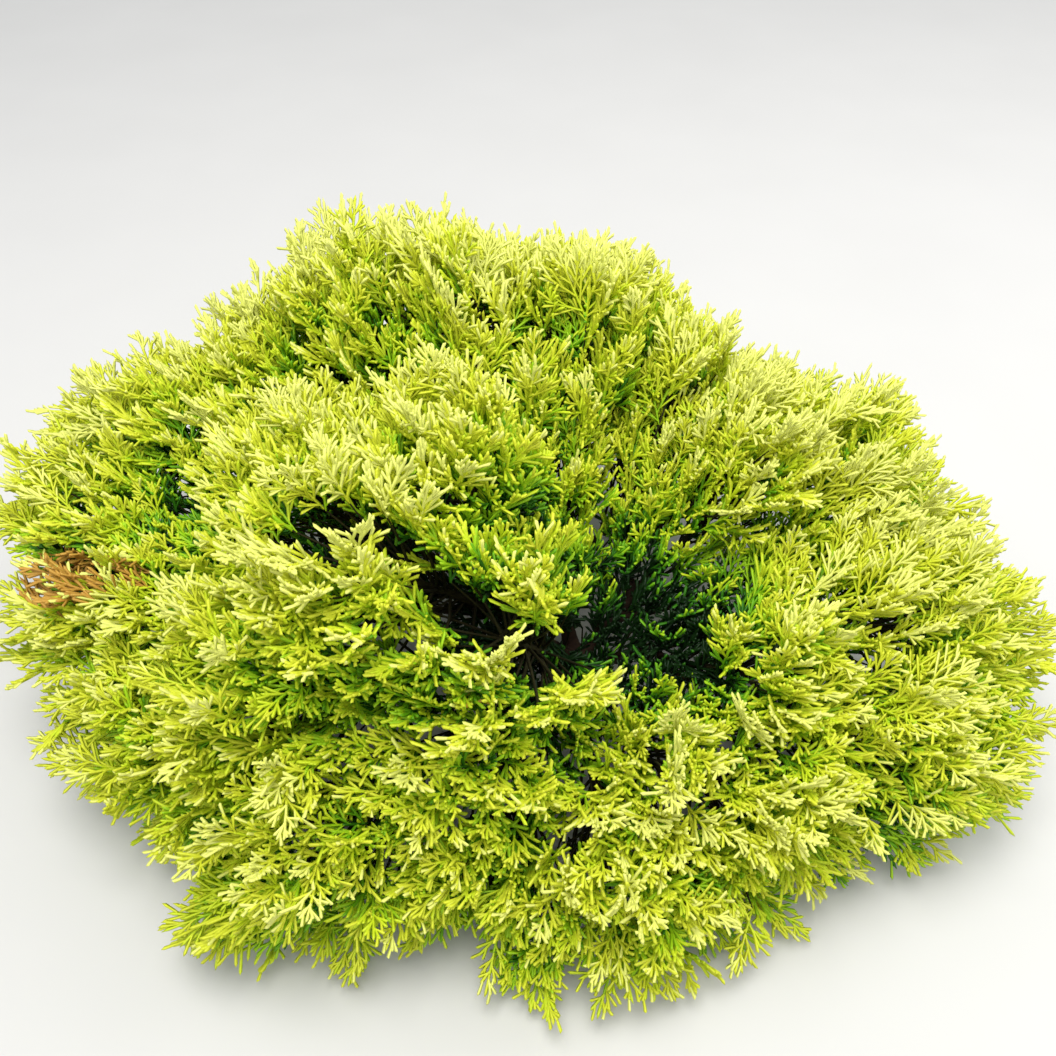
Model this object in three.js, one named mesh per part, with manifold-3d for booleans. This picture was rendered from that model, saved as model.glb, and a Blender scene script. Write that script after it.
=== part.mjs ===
// A spreading golden juniper that grows in the ground, in millimetres, +Z up.
// The origin is the middle of the flat cut under the stem, at ground level. +X is the
// plant's right side and -Y its front, as seen by someone who stands before it.
// A short stem forks into boughs and each bough ends where its mass of foliage begins. Each mass
// is a woody shoot in a shaggy core, with side twigs that end in toothed sprays of scale leaves.
import * as THREE from "three";
import Module from "manifold-3d";
import { mergeVertices } from "three/addons/utils/BufferGeometryUtils.js";

const wasm = await Module();
wasm.setup();

// The stem
const STEM_HEIGHT = 50;
const STEM_RADIUS = 12.5;
const STEM_LEAN = new THREE.Vector3(5, -3, 0);
const STEM_TAPER = 0.2;
const FLARE_GAIN = 0.62;
const FLARE_HEIGHT = 13;
const ROOT_LOBES = 5;
const LOBE_DEPTH = 0.16;
const STEM_SIDES = 11;
const STEM_RINGS = [0, 0.08, 0.18, 0.32, 0.54, 1];

// Every limb: the bearing of its tip in degrees from +X towards +Y, the distance of the tip from
// the stem, its height, what the limb forks from, and where: a height on the stem, or a share of
// the length of a bough.
const LIMBS = [
  { name: "right", bearing: -6, reach: 330, height: 90, from: "stem", fork: 20 },
  { name: "front_right", bearing: -49, reach: 248, height: 48, from: "stem", fork: 15 },
  { name: "front", bearing: -84, reach: 240, height: 34, from: "stem", fork: 19 },
  { name: "front_left", bearing: -134, reach: 318, height: 46, from: "stem", fork: 15 },
  { name: "left", bearing: -176, reach: 390, height: 100, from: "stem", fork: 22 },
  { name: "back_left", bearing: 158, reach: 436, height: 150, from: "stem", fork: 30 },
  { name: "back", bearing: 97, reach: 300, height: 105, from: "stem", fork: 22 },
  { name: "back_right", bearing: 35, reach: 314, height: 152, from: "stem", fork: 29 },
  { name: "top_left", bearing: 117, reach: 250, height: 302, from: "stem", fork: 46 },
  { name: "mound_left", bearing: -150, reach: 214, height: 268, from: "stem", fork: 38 },
  { name: "right_front", bearing: -25, reach: 312, height: 62, from: "right", fork: 0.16 },
  { name: "right_back", bearing: 14, reach: 294, height: 126, from: "back_right", fork: 0.14 },
  { name: "slope_right", bearing: -67, reach: 200, height: 100, from: "front_right", fork: 0.2 },
  { name: "slope_far", bearing: -35, reach: 192, height: 132, from: "right", fork: 0.19 },
  { name: "front_middle", bearing: -110, reach: 232, height: 38, from: "front", fork: 0.16 },
  { name: "slope_front", bearing: -122, reach: 206, height: 152, from: "front_left", fork: 0.14 },
  { name: "slope_left", bearing: -150, reach: 278, height: 170, from: "left", fork: 0.19 },
  { name: "left_front", bearing: -160, reach: 362, height: 70, from: "left", fork: 0.14 },
  { name: "left_back", bearing: 172, reach: 424, height: 128, from: "back_left", fork: 0.14 },
  { name: "upper_left", bearing: 148, reach: 345, height: 205, from: "back_left", fork: 0.19 },
  { name: "low_back_left", bearing: 130, reach: 330, height: 80, from: "back", fork: 0.15 },
  { name: "low_back_right", bearing: 64, reach: 285, height: 88, from: "back", fork: 0.2 },
  { name: "top_back", bearing: 134, reach: 292, height: 268, from: "top_left", fork: 0.15 },
  { name: "top_middle", bearing: 90, reach: 198, height: 284, from: "top_left", fork: 0.21 },
  { name: "top_right", bearing: 60, reach: 218, height: 224, from: "back_right", fork: 0.2 },
  { name: "mound_front", bearing: -120, reach: 150, height: 232, from: "mound_left", fork: 0.13 },
  { name: "inner_left", bearing: 176, reach: 236, height: 228, from: "mound_left", fork: 0.16 },
  { name: "centre", bearing: -170, reach: 106, height: 288, from: "mound_left", fork: 0.21 },
  { name: "inner_right", bearing: 22, reach: 168, height: 205, from: "top_right", fork: 0.16 },
];

// Boughs
const BOUGH_SIDES = 5;
const BOUGH_STEPS = 3;
const MAIN_RADIUS = 5;
const SIDE_RADIUS = 3.4;
const SHOOT_RADIUS = 1.5;
const RISE_AT = 0.3;
const RISE = 0.2;
const ARCH_AT = 0.7;
const ARCH = 0.13;
const FORK_ANGLE = 46;
const STEM_COLLAR = 27;
const HIGH_COLLAR = 36;
const HIGH_FORK = 36;
const FORK_COLLAR = 17;
const MAIN_MASS_FROM = 0.27;
const SIDE_MASS_FROM = 0.21;
const TAPER_POWER = 1.4;
const BOUGH_MARKS = 59;
const SEAT_GAP = 0.3;

// Masses of foliage: each keeps to a spindle round its shoot, and to the space nearer to its own
// shoot than to any other.
const SPREAD = 88;
const SPREAD_SHARE = 0.5;
const SPINDLE_BASE = 0.2;
const SPINDLE_END = 0.13;
const SPINDLE_POWER = 0.8;
const CELL_MARGIN = 0.04;
const LIMB_MARGIN = 1;
const SPRAY_MARGIN = 6;
const LEAST_HEIGHT = 4;
const AXIS_MARKS = 16;
const CORE_SIDES = 6;
const CORE_RINGS = 3;
const CORE_FROM = 0.06;
const CORE_TO = 0.66;
const CORE_STAGGER = 0.6;
const CORE_WIDTH = 0.4;
const CORE_RIDGE = 0.9;
const CORE_SHAG = 0.3;
const CORE_VALLEY = 0.5;
const CORE_LEAST = 4;
const CORE_STEP = 2;

// Twigs and sprays
const SPRAY_LENGTH = 108;
const SPRAY_SHARE = 0.48;
const LEAST_SPRAY = 0.8;
const SPRAY_BEND = 0.12;
const SPRAY_ROLL = 50;
const TWIGS = 14;
const TWIG_REACH = 0.42;
const TWIG_ANGLE = 44;
const ANGLE_SPIN = 8;
const TWIG_BEND = 0.25;
const TWIG_RADIUS = 1.4;
const TWIG_STEPS = 1;
const TWIG_TAPER = 0.3;
const SHOOT_STEPS = 4;
const RIB_STEPS = 10;
const RIDGE_HALF_THICKNESS = 1.7;
const RIDGE_AT = 0.4;
// Places on a spray's outline, as shares of its length: along it, out from it, and lifted.
const LOW_TOOTH = [0.52, 0.21, 0.05];
const NOTCH = [0.5, 0.035, 0];
const HIGH_TOOTH = [0.82, 0.11, 0.03];
const GOLDEN_ANGLE = 137.5;
const FIRST_SEED = 1000;
const SEED_STEP = 77;
// How a spray is tried until it fits: its share of its full length, and how far it turns outwards.
const FITS = [[1, 0.15], [1, 0.4], [0.85, 0.1], [0.85, 0.5], [0.7, 0], [0.7, 0.3], [0.55, 0.15]];

const UP = new THREE.Vector3(0, 0, 1);
const BARK = new THREE.MeshStandardMaterial({ color: 0x6b4a35, roughness: 0.9, metalness: 0 });
const FOLIAGE = new THREE.MeshStandardMaterial({ color: 0xa9bf2c, roughness: 0.6, metalness: 0 });

const radians = THREE.MathUtils.degToRad;
const vector = (x, y, z) => new THREE.Vector3(x, y, z);

// A seeded stream of numbers from 0 to 1.
function stream(seed) {
  let state = seed >>> 0;
  return () => {
    state = (Math.imul(state, 1664525) + 1013904223) >>> 0;
    return state / 4294967296;
  };
}

// A direction square to another one, level where that can be.
function sideOf(direction) {
  const side = direction.clone().cross(UP);
  return side.length() < 1e-3 ? vector(1, 0, 0) : side.normalize();
}

// A closed manifold-3d solid from vertices and triangles.
function solid(points, triangles) {
  const geometry = new THREE.BufferGeometry().setFromPoints(points);
  geometry.setIndex(triangles.flat());
  const merged = mergeVertices(geometry, 1e-4);
  return new wasm.Manifold(
    new wasm.Mesh({
      numProp: 3,
      vertProperties: merged.attributes.position.array,
      triVerts: new Uint32Array(merged.index.array),
    }),
  );
}

// Rings of points round a limb's line, square to its way at each place, joined side to side and closed
// at the first ring. Each ring is { centre, way, radius }, first is the way to its first point, and
// widen may change its radius at each turn.
function sleeve(rings, sides, first, widen = () => 1) {
  const points = [];
  const triangles = [];
  let start = first;
  rings.forEach(({ centre, way, radius }, i) => {
    start = start.clone().addScaledVector(way, -way.dot(start)).normalize();
    const across = way.clone().cross(start);
    for (let k = 0; k < sides; k++) {
      const turn = (2 * Math.PI * k) / sides;
      const reach = radius * widen(turn, i);
      points.push(
        centre
          .clone()
          .addScaledVector(start, reach * Math.cos(turn))
          .addScaledVector(across, reach * Math.sin(turn)),
      );
    }
  });
  for (let i = 0; i < rings.length - 1; i++)
    for (let k = 0; k < sides; k++) {
      const [a, b] = [i * sides + k, i * sides + ((k + 1) % sides)];
      triangles.push([a, b, b + sides], [a, b + sides, a + sides]);
    }
  for (let k = 1; k < sides - 1; k++) triangles.push([0, k + 1, k]);
  return { points, triangles, last: (rings.length - 1) * sides };
}

// A tapering limb with flat ends.
function limb(rings, sides, widen) {
  const { points, triangles, last } = sleeve(rings, sides, sideOf(rings[0].way), widen);
  for (let k = 1; k < sides - 1; k++) triangles.push([last, last + k, last + k + 1]);
  return solid(points, triangles);
}

// Evenly spaced shares from one to another, both included.
function shares(from, to, steps) {
  return Array.from({ length: steps + 1 }, (_, i) => from + ((to - from) * i) / steps);
}

// The line of a limb, which rises from its fork, arches over and ends at its furthest tip.
class LimbPath {
  constructor(row, parent) {
    const heading = radians(row.bearing);
    const tip = vector(Math.cos(heading), Math.sin(heading), 0).multiplyScalar(row.reach).setZ(row.height);
    const start = parent
      ? parent.curve.getPointAt(row.fork)
      : STEM_LEAN.clone().multiplyScalar(row.fork / STEM_HEIGHT).setZ(row.fork);
    const span = tip.clone().sub(start);
    const lifted = (share, rise) => start.clone().lerp(tip, share).addScaledVector(UP, rise * row.reach);
    this.name = row.name;
    this.parent = parent;
    this.baseRadius = parent ? SIDE_RADIUS : MAIN_RADIUS;
    this.massFrom = parent ? SIDE_MASS_FROM : MAIN_MASS_FROM;
    this.collar = parent ? FORK_COLLAR : row.fork > HIGH_FORK ? HIGH_COLLAR : STEM_COLLAR;
    const rising = parent
      ? start.clone().addScaledVector(this.forkDirection(parent, span, row.fork), RISE_AT * span.length())
      : lifted(RISE_AT, RISE);
    this.curve = new THREE.CubicBezierCurve3(start, rising, lifted(ARCH_AT, ARCH), tip);
    this.length = this.curve.getLength();
    this.massLength = (1 - this.massFrom) * this.length;
    this.sprayLength = Math.min(SPRAY_LENGTH, SPRAY_SHARE * this.massLength);
    this.spread = Math.min(SPREAD, SPREAD_SHARE * this.massLength);
    this.axis = shares(this.massFrom, 1, AXIS_MARKS).map((share) => this.curve.getPointAt(share));
  }

  // The way a side limb leaves its parent: the parent's own way, turned towards its tip.
  forkDirection(parent, span, fork) {
    const along = parent.curve.getTangentAt(fork);
    const aside = span.clone().addScaledVector(along, -span.dot(along)).normalize();
    const angle = radians(FORK_ANGLE);
    return along.multiplyScalar(Math.cos(angle)).addScaledVector(aside, Math.sin(angle));
  }

  radiusAt(share) {
    return SHOOT_RADIUS + (this.baseRadius - SHOOT_RADIUS) * (1 - share) ** TAPER_POWER;
  }

  rings(from, to, steps) {
    return shares(from, to, steps).map((share) => ({
      centre: this.curve.getPointAt(share),
      way: this.curve.getTangentAt(share),
      radius: this.radiusAt(share),
    }));
  }

  // The short collar that carries this limb, fused to the stem or to the parent bough.
  collarSolid() {
    return limb(this.rings(0, this.collar / this.length, 1), BOUGH_SIDES);
  }

  boughRange() {
    return [(this.collar + SEAT_GAP) / this.length, this.massFrom];
  }

  shootRange() {
    return [this.massFrom + SEAT_GAP / this.length, 1 - this.sprayLength / this.length];
  }

  // How far a point is from the middle of this mass, as a share of the spread there.
  depth(point) {
    const widths = this.axis.map((mark, i) => mark.distanceTo(point) / spindle(i / AXIS_MARKS));
    return Math.min(...widths) / this.spread;
  }
}

// The width of a mass at a share of its length: full before its middle, and narrow at its tip.
function spindle(share) {
  const swell = Math.sin(Math.PI * (SPINDLE_BASE + (1 - SPINDLE_BASE) * share)) ** SPINDLE_POWER;
  return SPINDLE_END + (1 - SPINDLE_END) * swell;
}

// A twig, or the rib of a spray: a line that starts one way and bends towards another. Its side is
// the way out to a spray's first hand.
class Sprig {
  constructor(root, heading, bend, length, side) {
    this.root = root;
    this.heading = heading;
    this.bend = bend;
    this.length = length;
    this.side = side;
  }

  pointAt(share) {
    return this.root
      .clone()
      .addScaledVector(this.heading, this.length * share)
      .addScaledVector(this.bend, this.length * share * share);
  }

  tangentAt(share) {
    return this.heading.clone().addScaledVector(this.bend, 2 * share).normalize();
  }

  points(steps) {
    return shares(0, 1, steps).map((share) => this.pointAt(share));
  }

  // The way up from the face of a spray.
  liftAt(share) {
    return this.side.clone().cross(this.tangentAt(share)).normalize();
  }

  // A point of a spray's outline: shares of its length along it, out to one hand, and lifted.
  outline(along, out, lift, hand) {
    return this.pointAt(along)
      .addScaledVector(this.side, out * hand * this.length)
      .addScaledVector(this.liftAt(along), lift * this.length);
  }

  teeth() {
    return [1, -1].flatMap((hand) => [this.outline(...LOW_TOOTH, hand), this.outline(...HIGH_TOOTH, hand)]);
  }

  rings(steps, radius) {
    return shares(0, 1, steps).map((share) => ({
      centre: this.pointAt(share),
      way: this.tangentAt(share),
      radius: radius * (1 - TWIG_TAPER * share),
    }));
  }
}

// A three-sided twig that ends in a spray: a toothed blade with a ridge on both faces, two teeth a
// side and a pointed end. The twig's last ring is the spray's root.
function twigWithSpray(rings, spray) {
  const { points, triangles, last } = sleeve(rings, 3, spray.liftAt(0));
  const lifted = (height) => spray.pointAt(RIDGE_AT).addScaledVector(spray.liftAt(RIDGE_AT), height);
  points.push(lifted(RIDGE_HALF_THICKNESS), lifted(-RIDGE_HALF_THICKNESS), spray.pointAt(1));
  const [over, under, tip] = [last + 3, last + 4, last + 5];
  triangles.push([last + 1, last + 2, under]);
  for (const hand of [1, -1]) {
    const face = (a, b, c) => triangles.push(hand > 0 ? [a, b, c] : [a, c, b]);
    const low = hand > 0 ? last + 1 : last + 2;
    const places = [LOW_TOOTH, NOTCH, HIGH_TOOTH];
    const edge = places.map((place) => points.push(spray.outline(...place, hand)) - 1);
    face(over, last, edge[0]);
    face(last, low, edge[0]);
    face(low, under, edge[0]);
    [...edge, tip].slice(1).forEach((next, i) => {
      face(over, edge[i], next);
      face(under, next, edge[i]);
    });
  }
  return solid(points, triangles);
}

// Grows one mass: side twigs round the woody shoot, and sprays at the ends and sides of both.
class Mass {
  constructor(path, others, seed) {
    this.path = path;
    this.others = others;
    this.draw = stream(seed);
    this.pieces = [];
    this.marks = [];
    this.leader = this.tipSpray();
    this.grow();
  }

  // True where a point is in this mass's own space and clear of every bough.
  clear(point, radius) {
    const own = this.path.depth(point);
    if (own > 1 || point.z < LEAST_HEIGHT + radius) return false;
    if (this.others.some((other) => other.depth(point) < own + CELL_MARGIN)) return false;
    const near = (mark) => mark.point.distanceTo(point) < mark.radius + radius + LIMB_MARGIN;
    return ![this.path, ...this.others].some((path) => path.boughWood.some(near));
  }

  // True where points are clear of the sprays that this mass already has.
  apart(points) {
    return points.every((p) => this.marks.every((m) => m.distanceTo(p) > SPRAY_MARGIN));
  }

  // A number between plus and minus an amount.
  spin(amount) {
    return (this.draw() * 2 - 1) * amount;
  }

  // The spray that carries the shoot on to the limb's furthest tip.
  tipSpray() {
    const { curve } = this.path;
    const end = curve.getPointAt(this.path.shootRange()[1]);
    const onward = curve.getPointAt(1).sub(end);
    const length = onward.length();
    return new Sprig(end, onward.normalize(), vector(0, 0, 0), length, sideOf(onward));
  }

  grow() {
    const { curve, massFrom, spread } = this.path;
    const [from, to] = this.path.shootRange();
    this.marks.push(...this.leader.points(RIB_STEPS).slice(2), ...this.leader.teeth());
    const turn = this.draw() * 360;
    for (let k = 0; k < TWIGS; k++) {
      const share = from + (to - from) * ((k + 0.5) / TWIGS);
      const along = curve.getTangentAt(share);
      const side = sideOf(along);
      const lift = side.clone().cross(along).normalize();
      const around = radians(turn + k * GOLDEN_ANGLE);
      const lateral = side.multiplyScalar(Math.cos(around)).addScaledVector(lift, Math.sin(around));
      const angle = radians(TWIG_ANGLE + this.spin(ANGLE_SPIN));
      const heading = along.multiplyScalar(Math.cos(angle)).addScaledVector(lateral, Math.sin(angle));
      const width = spread * spindle((share - massFrom) / (1 - massFrom));
      this.twig(curve.getPointAt(share), heading, TWIG_REACH * width);
    }
  }

  // The way out of the crown at a point, which sprays lean towards.
  outward(point) {
    return point.clone().sub(vector(0, 0, STEM_HEIGHT / 2)).normalize();
  }

  // One twig with a spray at its end, which turns outwards or is shortened until it fits, or is left out.
  twig(root, heading, length) {
    const outward = this.outward(root);
    const lean = outward.clone().multiplyScalar(TWIG_BEND);
    const stalk = new Sprig(root, heading, lean, length, sideOf(heading));
    const bend = outward.clone().multiplyScalar(SPRAY_BEND);
    const roll = radians(this.spin(SPRAY_ROLL));
    const size = this.path.sprayLength * (LEAST_SPRAY + (1 - LEAST_SPRAY) * this.draw());
    for (const [shorter, turned] of FITS) {
      const way = stalk.tangentAt(1).lerp(outward, turned).normalize();
      const side = sideOf(way).applyAxisAngle(way, roll);
      const spray = new Sprig(stalk.pointAt(1), way, bend, size * shorter, side);
      const ribs = spray.points(RIB_STEPS);
      const teeth = spray.teeth();
      if (!ribs.every((p) => this.clear(p, RIDGE_HALF_THICKNESS))) continue;
      if (!teeth.every((p) => this.clear(p, 0))) continue;
      if (!this.apart([...ribs.slice(2), ...teeth])) continue;
      this.pieces.push(twigWithSpray(stalk.rings(TWIG_STEPS, TWIG_RADIUS), spray));
      this.marks.push(...ribs.slice(1), ...teeth);
      return;
    }
  }

  // The core: a shaggy spindle whose ridges stand out in turn, each point drawn in until it keeps to
  // the mass's own space.
  core() {
    const { curve, massFrom, spread } = this.path;
    const at = (share) => massFrom + (1 - massFrom) * share;
    const points = [];
    const triangles = [];
    for (let i = 0; i < CORE_RINGS; i++) {
      for (let k = 0; k < CORE_SIDES; k++) {
        const ridge = (i + k) % 2 === 0;
        const steps = i + (ridge ? 1 : CORE_STAGGER);
        const share = CORE_FROM + ((CORE_TO - CORE_FROM) * steps) / (CORE_RINGS + CORE_STAGGER);
        const centre = curve.getPointAt(at(share));
        const along = curve.getTangentAt(at(share));
        const way = sideOf(along).applyAxisAngle(along, (2 * Math.PI * k) / CORE_SIDES);
        const shag = ridge ? CORE_RIDGE + CORE_SHAG * this.draw() : CORE_VALLEY;
        let radius = CORE_WIDTH * spread * spindle(share) * shag;
        const fits = () => this.clear(centre.clone().addScaledVector(way, radius), CORE_STEP);
        while (radius > CORE_LEAST && !fits()) radius -= CORE_STEP;
        points.push(centre.addScaledVector(way, radius));
      }
    }
    const last = (CORE_RINGS - 1) * CORE_SIDES;
    points.push(curve.getPointAt(at(CORE_FROM)), curve.getPointAt(at(CORE_TO)));
    for (let k = 0; k < CORE_SIDES; k++) {
      const next = (k + 1) % CORE_SIDES;
      triangles.push([points.length - 2, next, k], [last + k, last + next, points.length - 1]);
      for (let row = 0; row < last; row += CORE_SIDES) {
        const [a, b] = [row + k, row + next];
        triangles.push([a, b, b + CORE_SIDES], [a, b + CORE_SIDES, a + CORE_SIDES]);
      }
    }
    return solid(points, triangles);
  }

  solid() {
    const rings = this.path.rings(...this.path.shootRange(), SHOOT_STEPS);
    const shoot = twigWithSpray(rings, this.leader).add(this.core());
    return largest(this.pieces.reduce((made, piece) => made.add(piece), shoot));
  }
}

// The largest body of a solid, so that a sealed hollow is filled and a loose scrap dropped.
function largest(made) {
  return made.decompose().reduce((best, body) => (body.volume() > best.volume() ? body : best));
}

function stemSolid(paths) {
  const heights = STEM_RINGS.map((share) => share * STEM_HEIGHT);
  const fading = heights.map((height) => Math.exp(-height / FLARE_HEIGHT));
  const rings = STEM_RINGS.map((share, i) => ({
    centre: STEM_LEAN.clone().multiplyScalar(share).setZ(share * STEM_HEIGHT),
    way: UP,
    radius: STEM_RADIUS * (1 - STEM_TAPER * share) * (1 + FLARE_GAIN * fading[i]),
  }));
  const lobed = (turn, i) => 1 + LOBE_DEPTH * fading[i] * Math.cos(ROOT_LOBES * turn);
  const trunk = limb(rings, STEM_SIDES, lobed);
  const collars = paths.filter((path) => !path.parent).map((path) => path.collarSolid());
  return collars.reduce((made, collar) => made.add(collar), trunk);
}

function boughSolid(path, paths) {
  const [from, to] = path.boughRange();
  const forks = paths.filter((p) => p.parent === path).map((p) => p.collarSolid());
  return forks.reduce((made, fork) => made.add(fork), limb(path.rings(from, to, BOUGH_STEPS), BOUGH_SIDES));
}

function meshOf(name, made, material) {
  const mesh = made.getMesh();
  const geometry = new THREE.BufferGeometry();
  const places = new Float32Array(mesh.vertProperties);
  geometry.setAttribute("position", new THREE.BufferAttribute(places, 3));
  geometry.setIndex(new THREE.BufferAttribute(new Uint32Array(mesh.triVerts), 1));
  geometry.computeVertexNormals();
  const placed = new THREE.Mesh(geometry, material);
  placed.name = name;
  return placed;
}

const byName = new Map();
for (const row of LIMBS) byName.set(row.name, new LimbPath(row, byName.get(row.from)));
const paths = [...byName.values()];

// What sprays keep clear of: points along each bough and its collar.
for (const path of paths)
  path.boughWood = shares(0, path.massFrom, BOUGH_MARKS).map((share) => ({
    point: path.curve.getPointAt(share),
    radius: path.radiusAt(share),
  }));

const plant = new THREE.Group();
plant.add(meshOf("stem", stemSolid(paths), BARK));
for (const path of paths) plant.add(meshOf("bough_" + path.name, boughSolid(path, paths), BARK));
paths.forEach((path, i) => {
  const others = paths.filter((p) => p !== path);
  const mass = new Mass(path, others, FIRST_SEED + SEED_STEP * i);
  plant.add(meshOf("foliage_" + path.name, mass.solid(), FOLIAGE));
});

export default plant;
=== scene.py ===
"""A golden spreading juniper, dressed round its solids with bark, twigs and scale-leaf shoots.

Everything is in metres in the frame of the solids: the origin is the middle of the flat cut under
the stem, at ground level, +X is the plant's right side and -Y its front. The limbs, masses and
sprays repeat the rule that shapes the solids, and each spray is then carried on to finer plumes
and single shoots.
"""
import logging
import math
from dataclasses import dataclass, fields
from enum import Enum

import bpy
import numpy as np
from mathutils import Matrix, Vector, noise


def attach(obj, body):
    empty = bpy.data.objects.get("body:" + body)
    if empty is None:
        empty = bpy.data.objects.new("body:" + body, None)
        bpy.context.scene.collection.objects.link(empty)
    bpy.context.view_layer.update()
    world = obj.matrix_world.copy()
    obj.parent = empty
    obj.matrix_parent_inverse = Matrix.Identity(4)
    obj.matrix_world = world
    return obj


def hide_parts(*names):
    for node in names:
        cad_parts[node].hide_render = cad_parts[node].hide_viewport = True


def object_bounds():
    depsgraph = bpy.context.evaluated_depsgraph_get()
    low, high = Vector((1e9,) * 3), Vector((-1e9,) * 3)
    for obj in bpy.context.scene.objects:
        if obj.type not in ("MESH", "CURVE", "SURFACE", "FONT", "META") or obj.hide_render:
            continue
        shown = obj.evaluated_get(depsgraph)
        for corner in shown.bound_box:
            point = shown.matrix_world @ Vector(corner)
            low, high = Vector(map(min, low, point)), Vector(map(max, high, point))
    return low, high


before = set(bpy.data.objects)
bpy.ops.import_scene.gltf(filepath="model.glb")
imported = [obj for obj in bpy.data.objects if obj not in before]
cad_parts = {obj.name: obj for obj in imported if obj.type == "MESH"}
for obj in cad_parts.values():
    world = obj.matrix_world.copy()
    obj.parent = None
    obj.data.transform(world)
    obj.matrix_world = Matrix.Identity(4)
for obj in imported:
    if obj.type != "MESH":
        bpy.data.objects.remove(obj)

CAD_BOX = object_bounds()
MM = 0.001
NO_LENGTH = 1e-12
NEARLY_UPRIGHT = 1e-3
UP = np.array([0.0, 0.0, 1.0])
GOLDEN_ANGLE = math.radians(137.5)
Place = tuple[float, float, float]
Colour = tuple[float, float, float, float]
Pixel = tuple[float, float, float]
VIEWPOINT = (-0.03, -0.485, 0.66)
VIEW_TARGET = (-0.03, 0.025, 0.15)
LENS_MM = 36.1
SENSOR_MM = 36.0
PHOTO_SIDE_PX = 1056
LOG = logging.getLogger("juniper")


@dataclass(frozen=True)
class Limb:
    """One limb, in degrees and millimetres: where its tip is, and what it forks from and where.

    The fork is a height on the stem, or a share of the length of another limb.
    """

    name: str
    bearing: float
    reach: float
    height: float
    origin: str
    fork: float


LIMBS = (
    Limb("right", -6, 330, 90, "stem", 20),
    Limb("front_right", -49, 248, 48, "stem", 15),
    Limb("front", -84, 240, 34, "stem", 19),
    Limb("front_left", -134, 318, 46, "stem", 15),
    Limb("left", -176, 390, 100, "stem", 22),
    Limb("back_left", 158, 436, 150, "stem", 30),
    Limb("back", 97, 300, 105, "stem", 22),
    Limb("back_right", 35, 314, 152, "stem", 29),
    Limb("top_left", 117, 250, 302, "stem", 46),
    Limb("mound_left", -150, 214, 268, "stem", 38),
    Limb("right_front", -25, 312, 62, "right", 0.16),
    Limb("right_back", 14, 294, 126, "back_right", 0.14),
    Limb("slope_right", -67, 200, 100, "front_right", 0.2),
    Limb("slope_far", -35, 192, 132, "right", 0.19),
    Limb("front_middle", -110, 232, 38, "front", 0.16),
    Limb("slope_front", -122, 206, 152, "front_left", 0.14),
    Limb("slope_left", -150, 278, 170, "left", 0.19),
    Limb("left_front", -160, 362, 70, "left", 0.14),
    Limb("left_back", 172, 424, 128, "back_left", 0.14),
    Limb("upper_left", 148, 345, 205, "back_left", 0.19),
    Limb("low_back_left", 130, 330, 80, "back", 0.15),
    Limb("low_back_right", 64, 285, 88, "back", 0.2),
    Limb("top_back", 134, 292, 268, "top_left", 0.15),
    Limb("top_middle", 90, 198, 284, "top_left", 0.21),
    Limb("top_right", 60, 218, 224, "back_right", 0.2),
    Limb("mound_front", -120, 150, 232, "mound_left", 0.13),
    Limb("inner_left", 176, 236, 228, "mound_left", 0.16),
    Limb("centre", -170, 106, 288, "mound_left", 0.21),
    Limb("inner_right", 22, 168, 205, "top_right", 0.16),
)


def unit(vectors: np.ndarray) -> np.ndarray:
    """Vectors along the last axis, each cut or stretched to length 1."""
    return vectors / np.maximum(np.linalg.norm(vectors, axis=-1, keepdims=True), NO_LENGTH)


def side_of(ways: np.ndarray) -> np.ndarray:
    """Directions square to other ones, level where that can be.

    Args:
        ways: unit directions.

    Returns:
        A unit direction for each.
    """
    sides = np.cross(ways, UP)
    upright = np.linalg.norm(sides, axis=-1, keepdims=True) < NEARLY_UPRIGHT
    return unit(np.where(upright, [1.0, 0.0, 0.0], sides))


def turned(vector: np.ndarray, axis: np.ndarray, angle: float) -> np.ndarray:
    """A vector turned round a unit axis by an angle in radians."""
    return np.array(Matrix.Rotation(angle, 3, Vector(axis)) @ Vector(vector))


def seen_at(across: float, down: float, height: float) -> np.ndarray:
    """The place at a height where the camera sees a pixel of the photograph.

    Args:
        across: how far the pixel is from the photograph's left edge.
        down: how far it is from the top edge.
        height: the place's height in metres.

    Returns:
        The place, to the millimetre.
    """
    ahead = unit(np.array(VIEW_TARGET) - VIEWPOINT)
    right = side_of(ahead)
    up = np.cross(right, ahead)
    middle, scale = PHOTO_SIDE_PX / 2, LENS_MM / SENSOR_MM * PHOTO_SIDE_PX
    way = ahead + right * ((across - middle) / scale) + up * ((middle - down) / scale)
    return np.round(np.array(VIEWPOINT) + way * ((height - VIEWPOINT[2]) / way[2]), 3)


class Stream:
    """A seeded stream of numbers from 0 to 1, the same one as the solids use."""

    factor = 1664525
    addend = 1013904223
    states = 2**32

    def __init__(self, seed: int) -> None:
        """Starts the stream at a seed."""
        self.state = seed

    def draw(self) -> float:
        """The next number."""
        self.state = (self.state * self.factor + self.addend) % self.states
        return self.state / self.states

    def spin(self, amount: float) -> float:
        """The next number between plus and minus an amount."""
        return (self.draw() * 2 - 1) * amount


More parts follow.
